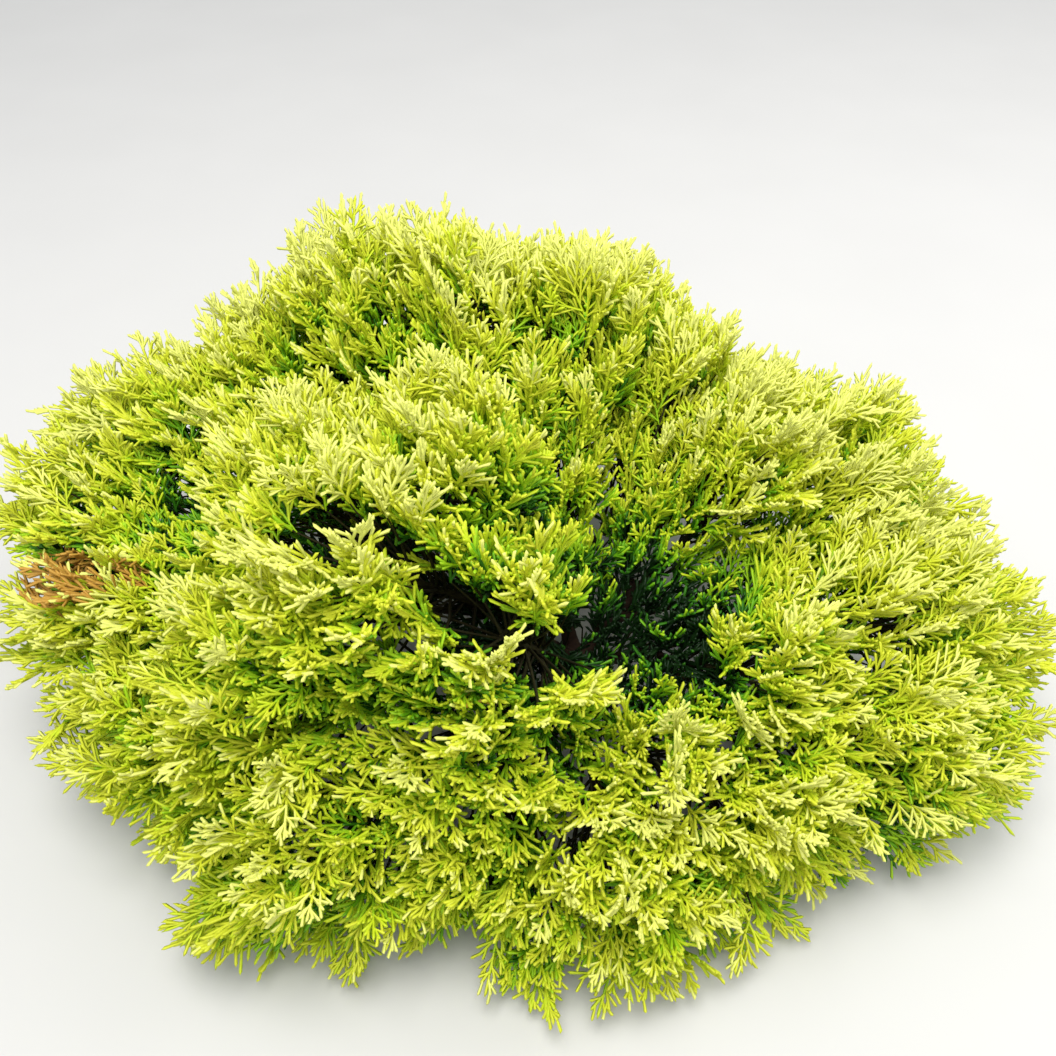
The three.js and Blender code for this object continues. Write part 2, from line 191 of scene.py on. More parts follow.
@dataclass(frozen=True)
class Stem:
    """The short stem: its height, radius, lean and root flare."""

    height: float = 0.050
    radius: float = 0.0125
    lean: tuple[float, float] = (0.005, -0.003)
    taper: float = 0.2
    flare_gain: float = 0.62
    flare_height: float = 0.013
    lobes: int = 5
    lobe_depth: float = 0.16

    def centre(self, height: float) -> np.ndarray:
        """The middle of the stem at a height."""
        share = height / self.height
        return np.array([self.lean[0] * share, self.lean[1] * share, height])

    def radii(self, height: float, turns: np.ndarray) -> np.ndarray:
        """The stem's radius all round it at a height.

        Args:
            height: how high above the ground.
            turns: angles round the stem in radians.

        Returns:
            A radius for each angle.
        """
        fading = math.exp(-height / self.flare_height)
        flared = self.radius * (1 - self.taper * height / self.height) * (1 + self.flare_gain * fading)
        return flared * (1 + self.lobe_depth * fading * np.cos(self.lobes * turns))


@dataclass(frozen=True)
class BoughRule:
    """How every bough runs: its thickness, its rise and arch, and where its mass begins."""

    main_radius: float = 0.005
    side_radius: float = 0.0034
    shoot_radius: float = 0.0015
    taper_power: float = 1.4
    rise_at: float = 0.3
    rise: float = 0.2
    arch_at: float = 0.7
    arch: float = 0.13
    fork_angle: float = math.radians(46)
    main_mass_from: float = 0.27
    side_mass_from: float = 0.21
    spray_length: float = 0.108
    spray_share: float = 0.48
    spread: float = 0.088
    spread_share: float = 0.5


STEM = Stem()
BOUGHS = BoughRule()
CURVE_STEPS = 200
CURVE_NUDGE = 1e-4
AXIS_MARKS = 16
BOUGH_MARKS = 59


def spindle(shares: np.ndarray) -> np.ndarray:
    """The width of a mass at shares of its length: full before its middle and narrow at its tip."""
    base, end, power = 0.2, 0.13, 0.8
    return end + (1 - end) * np.sin(np.pi * (base + (1 - base) * shares)) ** power


class LimbPath:
    """The line of a limb, which rises from its fork, arches over and ends at its furthest tip."""

    def __init__(self, limb: Limb, parent: "LimbPath | None") -> None:
        """Lays the line out.

        Args:
            limb: where the limb's tip and fork are.
            parent: the limb that it forks from, or None for the stem.
        """
        heading = math.radians(limb.bearing)
        reach = limb.reach * MM
        tip = np.array([math.cos(heading) * reach, math.sin(heading) * reach, limb.height * MM])
        start = parent.points([limb.fork])[0] if parent else STEM.centre(limb.fork * MM)
        span = tip - start
        self.name = limb.name
        self.base_radius = BOUGHS.side_radius if parent else BOUGHS.main_radius
        self.mass_from = BOUGHS.side_mass_from if parent else BOUGHS.main_mass_from
        if parent:
            way = self.fork_way(parent, span, limb.fork)
            rising = start + way * BOUGHS.rise_at * np.linalg.norm(span)
        else:
            rising = start + span * BOUGHS.rise_at + UP * BOUGHS.rise * reach
        arching = start + span * BOUGHS.arch_at + UP * BOUGHS.arch * reach
        self.knots = np.array([start, rising, arching, tip])
        self.times = np.linspace(0, 1, CURVE_STEPS + 1)
        steps = np.linalg.norm(np.diff(self.at(self.times), axis=0), axis=1)
        self.lengths = np.concatenate([[0], np.cumsum(steps)])
        self.length = self.lengths[-1]
        mass_length = (1 - self.mass_from) * self.length
        self.spray_length = min(BOUGHS.spray_length, BOUGHS.spray_share * mass_length)
        self.spread = min(BOUGHS.spread, BOUGHS.spread_share * mass_length)
        self.shoot_end = 1 - self.spray_length / self.length

    @staticmethod
    def fork_way(parent: "LimbPath", span: np.ndarray, fork: float) -> np.ndarray:
        """The way a side limb leaves its parent: the parent's own way, turned towards its tip.

        Args:
            parent: the limb that it leaves.
            span: the way from its fork to its tip, at full length.
            fork: where the fork is, as a share of the parent's length.

        Returns:
            A unit direction.
        """
        along = parent.tangents([fork])[0]
        aside = unit(span - along * span.dot(along))
        return along * math.cos(BOUGHS.fork_angle) + aside * math.sin(BOUGHS.fork_angle)

    def at(self, times: np.ndarray) -> np.ndarray:
        """Points of the curve at its own times from 0 to 1.

        Args:
            times: the curve's own times.

        Returns:
            A point for each time.
        """
        t = np.asarray(times, dtype=float)[:, None]
        a, b, c, d = self.knots
        return a * (1 - t) ** 3 + b * 3 * t * (1 - t) ** 2 + c * 3 * t**2 * (1 - t) + d * t**3

    def points(self, shares: np.ndarray) -> np.ndarray:
        """Points at shares of the limb's length."""
        return self.at(np.interp(np.asarray(shares) * self.length, self.lengths, self.times))

    def tangents(self, shares: np.ndarray) -> np.ndarray:
        """The limb's way at shares of its length.

        Args:
            shares: shares of its length.

        Returns:
            A unit direction for each share.
        """
        times = np.interp(np.asarray(shares) * self.length, self.lengths, self.times)
        before, after = np.clip(times - CURVE_NUDGE, 0, 1), np.clip(times + CURVE_NUDGE, 0, 1)
        return unit(self.at(after) - self.at(before))

    def radii(self, shares: np.ndarray) -> np.ndarray:
        """The limb's radius at shares of its length."""
        rest = (1 - np.asarray(shares)) ** BOUGHS.taper_power
        return BOUGHS.shoot_radius + (self.base_radius - BOUGHS.shoot_radius) * rest


# How far along a spray its two pairs of teeth are, how far out and how high.
TEETH = ((0.52, 0.21, 0.05), (0.82, 0.11, 0.03))


@dataclass
class Sprig:
    """A twig or the rib of a spray: a line that starts one way and bends towards another."""

    root: np.ndarray
    heading: np.ndarray
    bend: np.ndarray
    length: float
    side: np.ndarray

    def points(self, shares: np.ndarray) -> np.ndarray:
        """Points at shares of its length."""
        s = np.asarray(shares, dtype=float)[:, None]
        return self.root + self.heading * self.length * s + self.bend * self.length * s * s

    def tangents(self, shares: np.ndarray) -> np.ndarray:
        """Its way at shares of its length."""
        return unit(self.heading + self.bend * 2 * np.asarray(shares, dtype=float)[:, None])

    def lifts(self, shares: np.ndarray) -> np.ndarray:
        """The way up from its face at shares of its length."""
        return unit(np.cross(self.side, self.tangents(shares)))

    def outline(self, along: float, out: float, lift: float) -> np.ndarray:
        """The two points of a spray's outline at one place, with sizes as shares of its length.

        Args:
            along: the place on its rib.
            out: how far out to each hand.
            lift: how far up from its face.

        Returns:
            The two points.
        """
        point = self.points([along])[0] + self.lifts([along])[0] * lift * self.length
        aside = self.side * out * self.length
        return np.array([point + aside, point - aside])

    def teeth(self) -> np.ndarray:
        """The four points where a spray reaches furthest out."""
        return np.concatenate([self.outline(*tooth) for tooth in TEETH])


@dataclass(frozen=True)
class TwigRule:
    """How one round of twigs fills a mass, or clothes the bough that carries it.

    seed and seed_step choose the draws, size scales the sprays, and cell_margin and spray_margin
    keep them from other masses and from each other. An inner round stands in the shade under the
    crown and keeps to no mass: its span is where it starts and ends, as shares of the bough's
    length, and its twigs may hang under the limb.
    """

    count: int
    seed: int
    seed_step: int
    size: float
    cell_margin: float
    spray_margin: float
    twig_reach: float = 0.42
    angle: float = math.radians(44)
    inner: bool = False
    span: tuple[float, float] = (0.15, 1.25)
    hanging: bool = False


SOLID_TWIGS = TwigRule(14, 1000, 77, 1.0, 0.04, 0.006)
FINER_TWIGS = TwigRule(54, 52000, 91, 0.66, -0.3, 0.004, twig_reach=0.36)
INNER_TWIGS = TwigRule(
    30, 93000, 63, 0.52, 0.0, 0.004,
    twig_reach=0.1, angle=math.radians(62), inner=True,
)
LOW_TWIGS = TwigRule(
    30, 131000, 59, 0.72, 0.0, 0.004,
    twig_reach=0.55, angle=math.radians(66), inner=True, span=(0.7, 2.6), hanging=True,
)
TWIG_RULES = (SOLID_TWIGS, FINER_TWIGS, INNER_TWIGS, LOW_TWIGS)
# What a spray is tried at, one after another: its length as a share, and its turn outwards.
FITS = ((1, 0.15), (1, 0.4), (0.85, 0.1), (0.85, 0.5), (0.7, 0), (0.7, 0.3), (0.55, 0.15))


class Crown:
    """The space of every mass, which its twigs are tested against."""

    least_height = 0.004
    rib_half_thickness = 0.0017
    limb_margin = 0.001

    def __init__(self, paths: list[LimbPath]) -> None:
        """Marks the middle of each mass and the wood of each bough.

        Args:
            paths: the lines of all the limbs.
        """
        marks = np.linspace(0, 1, AXIS_MARKS + 1)
        self.axes = np.array([p.points(p.mass_from + (1 - p.mass_from) * marks) for p in paths])
        self.widths = spindle(marks)
        self.spreads = np.array([p.spread for p in paths])
        wood = [np.linspace(0, p.mass_from, BOUGH_MARKS + 1) for p in paths]
        self.wood = np.concatenate([p.points(s) for p, s in zip(paths, wood)])
        self.wood_radii = np.concatenate([p.radii(s) for p, s in zip(paths, wood)])

    def depths(self, points: np.ndarray) -> np.ndarray:
        """How far points are from the middle of each mass, as a share of its spread there."""
        gaps = np.linalg.norm(points[:, None, None, :] - self.axes[None], axis=3)
        return (gaps / self.widths).min(axis=2) / self.spreads

    def depth(self, own: int, points: np.ndarray) -> float:
        """How far points reach from the middle of one mass, as a share of its spread there."""
        gaps = np.linalg.norm(np.atleast_2d(points)[:, None, :] - self.axes[own][None], axis=2)
        return (gaps / self.widths).min(axis=1).max() / self.spreads[own]

    def clear(self, own: int, points: np.ndarray, radius: float, rule: TwigRule) -> bool:
        """Tests whether points are in a mass's own space and clear of every bough.

        Args:
            own: the mass's number.
            points: the points.
            radius: half the thickness of what they mark.
            rule: the round that they belong to.

        Returns:
            True where every point fits.
        """
        if points[:, 2].min() < self.least_height + radius:
            return False
        if not rule.inner:
            gaps = np.linalg.norm(points[:, None, :] - self.axes[own][None], axis=2)
            mine = (gaps / self.widths).min(axis=1) / self.spreads[own]
            if mine.max() > 1:
                return False
            depths = self.depths(points)
            depths[:, own] = np.inf
            if (depths.min(axis=1) < mine + rule.cell_margin).any():
                return False
        gaps = np.linalg.norm(points[:, None, :] - self.wood[None], axis=2)
        return bool((gaps > self.wood_radii + radius + self.limb_margin).all())


@dataclass
class Branchlet:
    """One spray with the twig that carries it, or none for the spray at a limb's tip.

    place is where it stands, as a share of the limb's length.
    """

    spray: Sprig
    stalk: Sprig | None
    place: float
    rib_marks = 4

    def wood(self, reach: float) -> np.ndarray:
        """The line of its wood: the twig, if it has one, and the spray's rib up to a share of it."""
        rib = self.spray.points(np.linspace(0, reach, self.rib_marks))
        return rib if self.stalk is None else np.concatenate([self.stalk.points([0, 0.5]), rib])


class Mass:
    """One mass of foliage, which grows its twigs round its own woody shoot."""

    angle_spin = math.radians(8)
    twig_bend = 0.25
    spray_bend = 0.12
    spray_roll = math.radians(50)
    least_spray = 0.8
    rib_shares = np.linspace(0, 1, 11)
    seat_gap = 0.0003

    def __init__(self, own: int, path: LimbPath, crown: Crown) -> None:
        """Starts with the spray that carries the shoot on to the limb's furthest tip.

        Args:
            own: the mass's number.
            path: the line of its limb.
            crown: the space of all the masses.
        """
        self.own, self.path, self.crown = own, path, crown
        end = path.points([path.shoot_end])[0]
        onward = path.points([1.0])[0] - end
        way = unit(onward)
        leader = Sprig(end, way, np.zeros(3), float(np.linalg.norm(onward)), side_of(way))
        self.branchlets = [Branchlet(leader, None, path.shoot_end)]
        self.marks = np.concatenate([leader.points(self.rib_shares[2:]), leader.teeth()])

    def grow(self, rule: TwigRule) -> None:
        """Adds a round of twigs, evenly along the shoot and at the golden angle round it.

        Args:
            rule: how the round fills the mass.
        """
        path = self.path
        stream = Stream(rule.seed + rule.seed_step * self.own)
        start, end = path.mass_from + self.seat_gap / path.length, path.shoot_end
        if rule.inner:
            start, end = (min(path.mass_from * share, path.shoot_end) for share in rule.span)
        turn = stream.draw() * 2 * math.pi
        for k in range(rule.count):
            share = start + (end - start) * (k + 0.5) / rule.count
            along = path.tangents([share])[0]
            side = side_of(along)
            lift = unit(np.cross(side, along))
            around = turn + k * GOLDEN_ANGLE
            across = math.sin(around)
            lateral = side * math.cos(around) + lift * (-abs(across) if rule.hanging else across)
            angle = rule.angle + stream.spin(self.angle_spin)
            heading = along * math.cos(angle) + lateral * math.sin(angle)
            along_mass = max(0.0, share - path.mass_from) / (1 - path.mass_from)
            width = path.spread * float(spindle(along_mass))
            self.twig(share, heading, rule.twig_reach * width, stream, rule)

    def twig(
        self, share: float, heading: np.ndarray, length: float, stream: Stream, rule: TwigRule,
    ) -> None:
        """Adds one twig and its spray, turned outwards or shortened until it fits, or neither.

        Args:
            share: where it stands, as a share of the limb's length.
            heading: the way that it starts.
            length: its length.
            stream: the numbers that vary it.
            rule: the round that it belongs to.
        """
        root = self.path.points([share])[0]
        outward = unit(root - np.array([0, 0, STEM.height / 2]))
        stalk = Sprig(root, heading, outward * self.twig_bend, length, side_of(heading))
        roll = stream.spin(self.spray_roll)
        share_of_most = self.least_spray + (1 - self.least_spray) * stream.draw()
        size = self.path.spray_length * share_of_most * rule.size
        for shorter, outwards in FITS:
            onward = stalk.tangents([1.0])[0]
            way = unit(onward + (outward - onward) * outwards)
            side = turned(side_of(way), way, roll)
            spray = Sprig(stalk.points([1.0])[0], way, outward * self.spray_bend, size * shorter, side)
            ribs, teeth = spray.points(self.rib_shares), spray.teeth()
            tested = ribs[2:] if rule.inner else ribs
            if not self.crown.clear(self.own, tested, self.crown.rib_half_thickness, rule):
                continue
            if not self.crown.clear(self.own, teeth, 0.0, rule):
                continue
            own_points = np.concatenate([ribs[2:], teeth])
            gaps = np.linalg.norm(own_points[:, None] - self.marks[None], axis=2)
            if gaps.min() <= rule.spray_margin:
                continue
            self.branchlets.append(Branchlet(spray, stalk, share))
            self.marks = np.concatenate([self.marks, ribs[1:], teeth])
            return


class ShootKind(Enum):
    """The orders of shoots in a plume, with their widths in metres."""

    LEADER = 0.0025
    LATERAL = 0.0027
    SIDE = 0.0025


@dataclass
class ShootRows:
    """Many shoots as arrays with a row each: root, way, lift, length, width, tone and plume."""

    roots: np.ndarray
    ways: np.ndarray
    lifts: np.ndarray
    lengths: np.ndarray
    widths: np.ndarray
    tones: np.ndarray
    plumes: np.ndarray

    @staticmethod
    def joined(parts: list["ShootRows"]) -> "ShootRows":
        """The rows of several sets, one after another."""
        columns = [field.name for field in fields(ShootRows)]
        return ShootRows(*(np.concatenate([getattr(p, c) for p in parts]) for c in columns))

    def chosen(self, which: np.ndarray) -> "ShootRows":
        """The rows that a mask or list of numbers chooses."""
        return ShootRows(*(getattr(self, field.name)[which] for field in fields(ShootRows)))

    def along(self, share: float) -> np.ndarray:
        """The place at a share of every shoot's length."""
        return self.roots + self.ways * (self.lengths * share)[:, None]

    def plume_means(self, columns: np.ndarray, plumes: int) -> np.ndarray:
        """A row for each plume with the means of its shoots' columns, which are 0 if it has none."""
        sizes = np.maximum(np.bincount(self.plumes, minlength=plumes), 1)
        return np.stack([np.bincount(self.plumes, column, plumes) / sizes for column in columns], axis=1)


@dataclass(frozen=True)
class PlumeRule:
    """How a plume is set with lateral shoots, and those with side shoots.

    The laterals' reaches, as shares of the plume's length, and angles go with places along it. A
    spread is how far the draws go round a value, and scatter is where in its slot a lateral starts.
    """

    leader_places: tuple[float, ...] = (0.0, 0.31, 0.6)
    leader_share: float = 0.42
    lateral_gap: float = 0.005
    lateral_last: float = 0.84
    fewest_laterals: int = 4
    scatter: tuple[float, float] = (0.2, 0.8)
    length_spread: tuple[float, float] = (0.8, 1.2)
    angle_spread: float = 0.08
    places: tuple[float, ...] = (0.0, 0.28, 0.84)
    reaches: tuple[float, ...] = (0.38, 0.47, 0.18)
    angles: tuple[float, ...] = (math.radians(42), math.radians(34), math.radians(18))
    tilt: float = 0.15
    tilt_spread: float = 0.25
    side_slots: int = 6
    side_gap: float = 0.005
    side_first: float = 0.2
    side_last: float = 0.8
    side_share: float = 0.72
    side_fall: float = 0.35
    side_least: float = 0.0085
    side_most: float = 0.0165
    side_angle: float = math.radians(25)
    side_turn_spread: float = 0.4
    bend: float = 0.4
    rise: float = 0.45
    side_rise: float = 0.18


PLUMES = PlumeRule()


def plume(
    root: np.ndarray, way: np.ndarray, lift: np.ndarray, length: float, tone: float, number: int,
    rng: np.random.Generator,
) -> ShootRows:
    """One plume: a leader with alternate lateral shoots, and side shoots on those.

    Args:
        root: where the leader starts.
        way: the way it runs.
        lift: the way up from the plume's face.
        length: the leader's length.
        tone: how light the plume is at its root.
        number: the plume's number.
        rng: the seeded generator that varies it.

    Returns:
        The plume's shoots.
    """
    rule = PLUMES

    def rows(
        roots: np.ndarray, ways: np.ndarray, lengths: np.ndarray, kind: ShootKind, tones: np.ndarray,
    ) -> ShootRows:
        """Shoots of one kind, with the plume's lift squared to their ways.

        Args:
            roots: where they start.
            ways: the ways they run.
            lengths: their lengths.
            kind: their order.
            tones: how light they are.

        Returns:
            A row for each shoot.
        """
        lifts = unit(lift - ways * (ways @ lift)[:, None])
        widths, numbers = np.full(len(roots), kind.value), np.full(len(roots), number)
        return ShootRows(roots, ways, lifts, lengths, widths, tones, numbers)

    sag = rule.bend * ShootKind.LEADER.value
    parts = np.array(rule.leader_places)
    leader_ways = unit(way + lift * (2 * sag / length * parts)[:, None])
    leader = rows(
        root + way * (length * parts)[:, None] + lift * (sag * parts**2)[:, None],
        leader_ways, np.full(len(parts), length * rule.leader_share),
        ShootKind.LEADER, tone + rule.rise * parts,
    )
    count = max(rule.fewest_laterals, round(rule.lateral_last * length / rule.lateral_gap))
    places = rule.lateral_last * (np.arange(count) + rng.uniform(*rule.scatter, count)) / count
    side = unit(np.cross(way, lift))
    hands = np.where((np.arange(count) + rng.integers(2)) % 2, 1.0, -1.0)
    reaches = np.interp(places, rule.places, rule.reaches)
    reaches = length * reaches * rng.uniform(*rule.length_spread, count)
    angles = np.interp(places, rule.places, rule.angles) + rng.normal(0, rule.angle_spread, count)
    tilts = rng.normal(rule.tilt, rule.tilt_spread, count)
    outs = side * (hands * np.cos(tilts))[:, None] + lift * np.sin(tilts)[:, None]
    ways = unit(way * np.cos(angles)[:, None] + outs * np.sin(angles)[:, None])
    roots = root + way * (length * places)[:, None] + lift * (sag * places**2)[:, None]
    laterals = rows(roots, ways, reaches, ShootKind.LATERAL, tone + rule.rise * places)
    slots = rule.side_first + np.arange(rule.side_slots) * rule.side_gap / reaches[:, None]
    which, where = np.nonzero(slots < rule.side_last)
    spots = slots[which, where]
    lengths = rule.side_share * reaches[which] * (1 - rule.side_fall * spots)
    lengths = np.clip(lengths, rule.side_least, rule.side_most)
    lengths = lengths * rng.uniform(*rule.length_spread, len(which))
    carriers = ways[which]
    flat = np.cross(carriers, laterals.lifts[which])
    handed = np.where((where + (hands[which] > 0)) % 2, 1.0, -1.0)
    turns = rng.normal(0, rule.side_turn_spread, len(which))
    asides = flat * (handed * np.cos(turns))[:, None] + laterals.lifts[which] * np.sin(turns)[:, None]
    side_angles = rng.normal(rule.side_angle, rule.angle_spread, len(which))
    side_ways = unit(carriers * np.cos(side_angles)[:, None] + asides * np.sin(side_angles)[:, None])
    side_roots = roots[which] + carriers * (reaches[which] * spots)[:, None]
    outer = rule.rise * places[which] + rule.side_rise * spots
    sides = rows(side_roots, side_ways, lengths, ShootKind.SIDE, tone + outer)
    return ShootRows.joined([leader, laterals, sides])


@dataclass(frozen=True)
class SprayRule:
    """How a spray's rib is set with plumes, with lengths in metres.

    outwards and upwards turn the plumes out of the crown and up, by the share that turn_spread
    draws, and reach is how far their tips may go as a share of the mass's spread. A plume's face
    turns out of the crown, and by face_lift towards the spray's own face. The rises make the tones
    lighter along the rib and at its tip.
    """

    plume_gap: float = 0.0155
    fewest_plumes: int = 2
    first: float = 0.04
    last: float = 0.7
    length_share: float = 0.72
    length_fall: float = 0.3
    shortest: float = 0.04
    longest: float = 0.066
    length_spread: tuple[float, float] = (0.82, 1.2)
    scatter: tuple[float, float] = (0.2, 0.8)
    angle: float = math.radians(35)
    angle_spread: float = 0.12
    tilt: float = 0.2
    tilt_spread: float = 0.4
    face_lift: float = 0.6
    face_spread: float = 0.22
    shade_spread: float = 0.09
    rise: float = 0.1
    tip_rise: float = 0.15
    turn_spread: tuple[float, float] = (0.2, 1.0)
    outwards: float = 0.25
    upwards: float = 0.34
    reach: float = 1.1
    shortening: float = 0.86
    terminal_from: float = 0.45


SPRAYS = SprayRule()
CROWN_RADII = np.array([0.37, 0.28, 0.27])


def outward_at(place: np.ndarray) -> np.ndarray:
    """The way out of the crown at a place, square to a dome through it."""
    return unit(place / CROWN_RADII**2)


class SprayFiller:
    """Sets sprays with plumes, and notes where on its rib each of them stands."""

    def __init__(self, crown: Crown, rng: np.random.Generator) -> None:
        """Starts with no plume."""
        self.crown, self.rng = crown, rng
        self.shares: list[float] = []

    def plume_at(
        self, spray: Sprig, own: int, share: float, heading: np.ndarray, length: float, tone: float,
    ) -> ShootRows:
        """One plume on a spray's rib, shortened until its tip keeps within the mass's reach.

        Args:
            spray: the spray.
            own: the number of its mass.
            share: where on the rib the plume stands.
            heading: the way that it runs.
            length: its length.
            tone: how light it is at its root.

        Returns:
            The plume's shoots.
        """
        rule, root = SPRAYS, spray.points([share])[0]
        outward = outward_at(root)
        outwards, upwards = self.rng.uniform(*rule.turn_spread, 2) * (rule.outwards, rule.upwards)
        heading = unit(heading + outward * outwards + UP * upwards)
        face = outward + rule.face_lift * spray.lifts([share])[0]
        face = face + self.rng.normal(0, rule.face_spread, 3)
        face = unit(face - heading * heading.dot(face))
        while length > rule.shortest and self.crown.depth(own, root + heading * length) > rule.reach:
            length *= rule.shortening
        self.shares.append(share)
        return plume(root, heading, face, length, tone, len(self.shares) - 1, self.rng)

    def fill(self, branchlet: Branchlet, own: int) -> ShootRows:
        """The plumes of one spray: alternate ones along its rib and one that carries its tip.

        Args:
            branchlet: the spray and its twig.
            own: the number of their mass.

        Returns:
            The shoots of all its plumes.
        """
        spray, rule, rng = branchlet.spray, SPRAYS, self.rng
        count = max(rule.fewest_plumes, round(spray.length * (rule.last - rule.first) / rule.plume_gap))
        shade = rng.normal(0, rule.shade_spread)
        parts = []
        for k in range(count):
            share = rule.first + (rule.last - rule.first) * (k + rng.uniform(*rule.scatter)) / count
            way, lift = spray.tangents([share])[0], spray.lifts([share])[0]
            tilt = rng.normal(rule.tilt, rule.tilt_spread)
            out = spray.side * (1 if k % 2 else -1) * math.cos(tilt) + lift * math.sin(tilt)
            angle = rng.normal(rule.angle, rule.angle_spread)
            heading = way * math.cos(angle) + out * math.sin(angle)
            length = spray.length * rule.length_share * (1 - rule.length_fall * share)
            length = min(max(length * rng.uniform(*rule.length_spread), rule.shortest), rule.longest)
            parts.append(self.plume_at(spray, own, share, heading, length, shade + rule.rise * share))
        tip = spray.points([1.0])[0] - spray.points([rule.terminal_from])[0]
        length = max(float(np.linalg.norm(tip)), rule.shortest)
        tone = shade + rule.tip_rise
        parts.append(self.plume_at(spray, own, rule.terminal_from, unit(tip), length, tone))
        return ShootRows.joined(parts)


class Value:
    """A socket of a node tree whose arithmetic adds Math nodes."""

    def __init__(self, graph: "Graph", socket: bpy.types.NodeSocket) -> None:
        """Wraps a socket of a graph."""
        self.graph, self.socket = graph, socket

    def math(self, operation: str, first: object, second: object) -> "Value":
        """A Math node on two numbers or values."""
        return self.graph.add("ShaderNodeMath", {"operation": operation}, {0: first, 1: second})

    def __add__(self, other: object) -> "Value":
        """self + other."""
        return self.math("ADD", self, other)

    def __radd__(self, other: object) -> "Value":
        """other + self."""
        return self.math("ADD", other, self)

    def __sub__(self, other: object) -> "Value":
        """self - other."""
        return self.math("SUBTRACT", self, other)

    def __rsub__(self, other: object) -> "Value":
        """other - self."""
        return self.math("SUBTRACT", other, self)

    def __mul__(self, other: object) -> "Value":
        """self * other."""
        return self.math("MULTIPLY", self, other)

    def __rmul__(self, other: object) -> "Value":
        """other * self."""
        return self.math("MULTIPLY", other, self)


class Graph:
    """A node tree that is built by naming node types, settings and socket values."""

    def __init__(self, tree: bpy.types.NodeTree) -> None:
        """Wraps a node tree."""
        self.tree = tree

    def add(self, kind: str, settings: dict, values: dict, output: int | str = 0) -> Value:
        """Adds one node.

        Args:
            kind: the node's type.
            settings: its properties, set first.
            values: a number, colour or Value for each socket that needs one.
            output: which output to return.

        Returns:
            The chosen output.
        """
        node = self.tree.nodes.new(kind)
        for name, setting in settings.items():
            setattr(node, name, setting)
        for key, value in values.items():
            self.put(node, key, value)
        return Value(self, node.outputs[output])

    def put(self, node: bpy.types.Node, key: int | str, value: object) -> None:
        """Links a value to a node's socket, or sets the socket to a number, colour or name.

        Args:
            node: the node.
            key: the socket's name or number.
            value: what it takes.
        """
        if isinstance(value, Value):
            self.tree.links.new(value.socket, node.inputs[key])
        else:
            node.inputs[key].default_value = value

    def mix(self, low: object, high: object, factor: object) -> Value:
        """A colour between two colours."""
        return self.add("ShaderNodeMix", {"data_type": "RGBA"}, {0: factor, 6: low, 7: high}, 2)

    def noise(self, place: Value, scale: float, detail: float = 2.0) -> Value:
        """A Noise texture's value at a place."""
        return self.add("ShaderNodeTexNoise", {}, {"Vector": place, "Scale": scale, "Detail": detail})


def linear(red: int, green: int, blue: int) -> Colour:
    """A colour as shaders take it, from the 0 to 255 values that a screen shows."""
    values = [v / 255 for v in (red, green, blue)]
    return (*((v / 12.92 if v <= 0.04045 else ((v + 0.055) / 1.055) ** 2.4) for v in values), 1.0)


def lightened(colour: Colour, amount: float) -> Colour:
    """A colour made lighter or, below 1, darker by a factor."""
    return (*(min(1.0, v * amount) for v in colour[:3]), 1.0)


class Dressing:
    """A new material, whose one shader is set socket by socket."""

    def __init__(self, name: str) -> None:
        """Makes the material.

        Args:
            name: the material's name.
        """
        self.material = bpy.data.materials.new(name)
        self.material.use_nodes = True
        self.graph = Graph(self.material.node_tree)
        self.place = self.graph.add("ShaderNodeTexCoord", {}, {}, "Object")
        self.shader = self.material.node_tree.nodes["Principled BSDF"]

    def put(self, socket: str, value: object) -> None:
        """Sets or links one socket of the shader."""
        self.graph.put(self.shader, socket, value)

    def emboss(self, height: Value, strength: float, distance: float) -> None:
        """Gives the surface a fine relief."""
        settings = {"Strength": strength, "Distance": distance, "Height": height}
        self.put("Normal", self.graph.add("ShaderNodeBump", {}, settings))


@dataclass(frozen=True)
class ShootFinish:
    """Scale-leaf shoots of one tint: waxy, faintly mottled and lightly pebbled by their leaves."""

    name: str
    colour: Colour
    grain: float = 420.0
    mottle: float = 0.12
    roughness: float = 0.44
    roughness_spread: float = 0.12
    specular: float = 0.3
    relief: float = 0.35
    relief_height: float = 0.0002

    def material(self) -> bpy.types.Material:
        """Builds the material.

        Returns:
            The material.
        """
        made = Dressing(self.name)
        fine = made.graph.noise(made.place, self.grain)
        low, high = lightened(self.colour, 1 - self.mottle), lightened(self.colour, 1 + self.mottle)
        made.put("Base Color", made.graph.mix(low, high, fine))
        made.put("Roughness", fine * self.roughness_spread + self.roughness)
        made.put("Specular IOR Level", self.specular)
        made.emboss(fine, self.relief, self.relief_height)
        return made.material


@dataclass(frozen=True)
class BarkFinish:
    """Thin red-brown bark that flakes in long strips."""

    name: str
    dark: Colour
    light: Colour
    flake_grain: float = 260.0
    flake_detail: float = 5.0
    flake_share: float = 1.1
    patch_grain: float = 45.0
    patch_share: float = 0.5
    darkening: float = 0.35
    roughness: float = 0.75
    roughness_spread: float = 0.15
    specular: float = 0.25
    relief: float = 0.6
    relief_height: float = 0.0005

    def material(self) -> bpy.types.Material:
        """Builds the material.

        Returns:
            The material.
        """
        made = Dressing(self.name)
        flakes = made.graph.noise(made.place, self.flake_grain, self.flake_detail)
        patches = made.graph.noise(made.place, self.patch_grain)
        lightness = flakes * self.flake_share + patches * self.patch_share - self.darkening
        made.put("Base Color", made.graph.mix(self.dark, self.light, lightness))
        made.put("Roughness", flakes * self.roughness_spread + self.roughness)
        made.put("Specular IOR Level", self.specular)
        made.emboss(flakes, self.relief, self.relief_height)
        return made.material


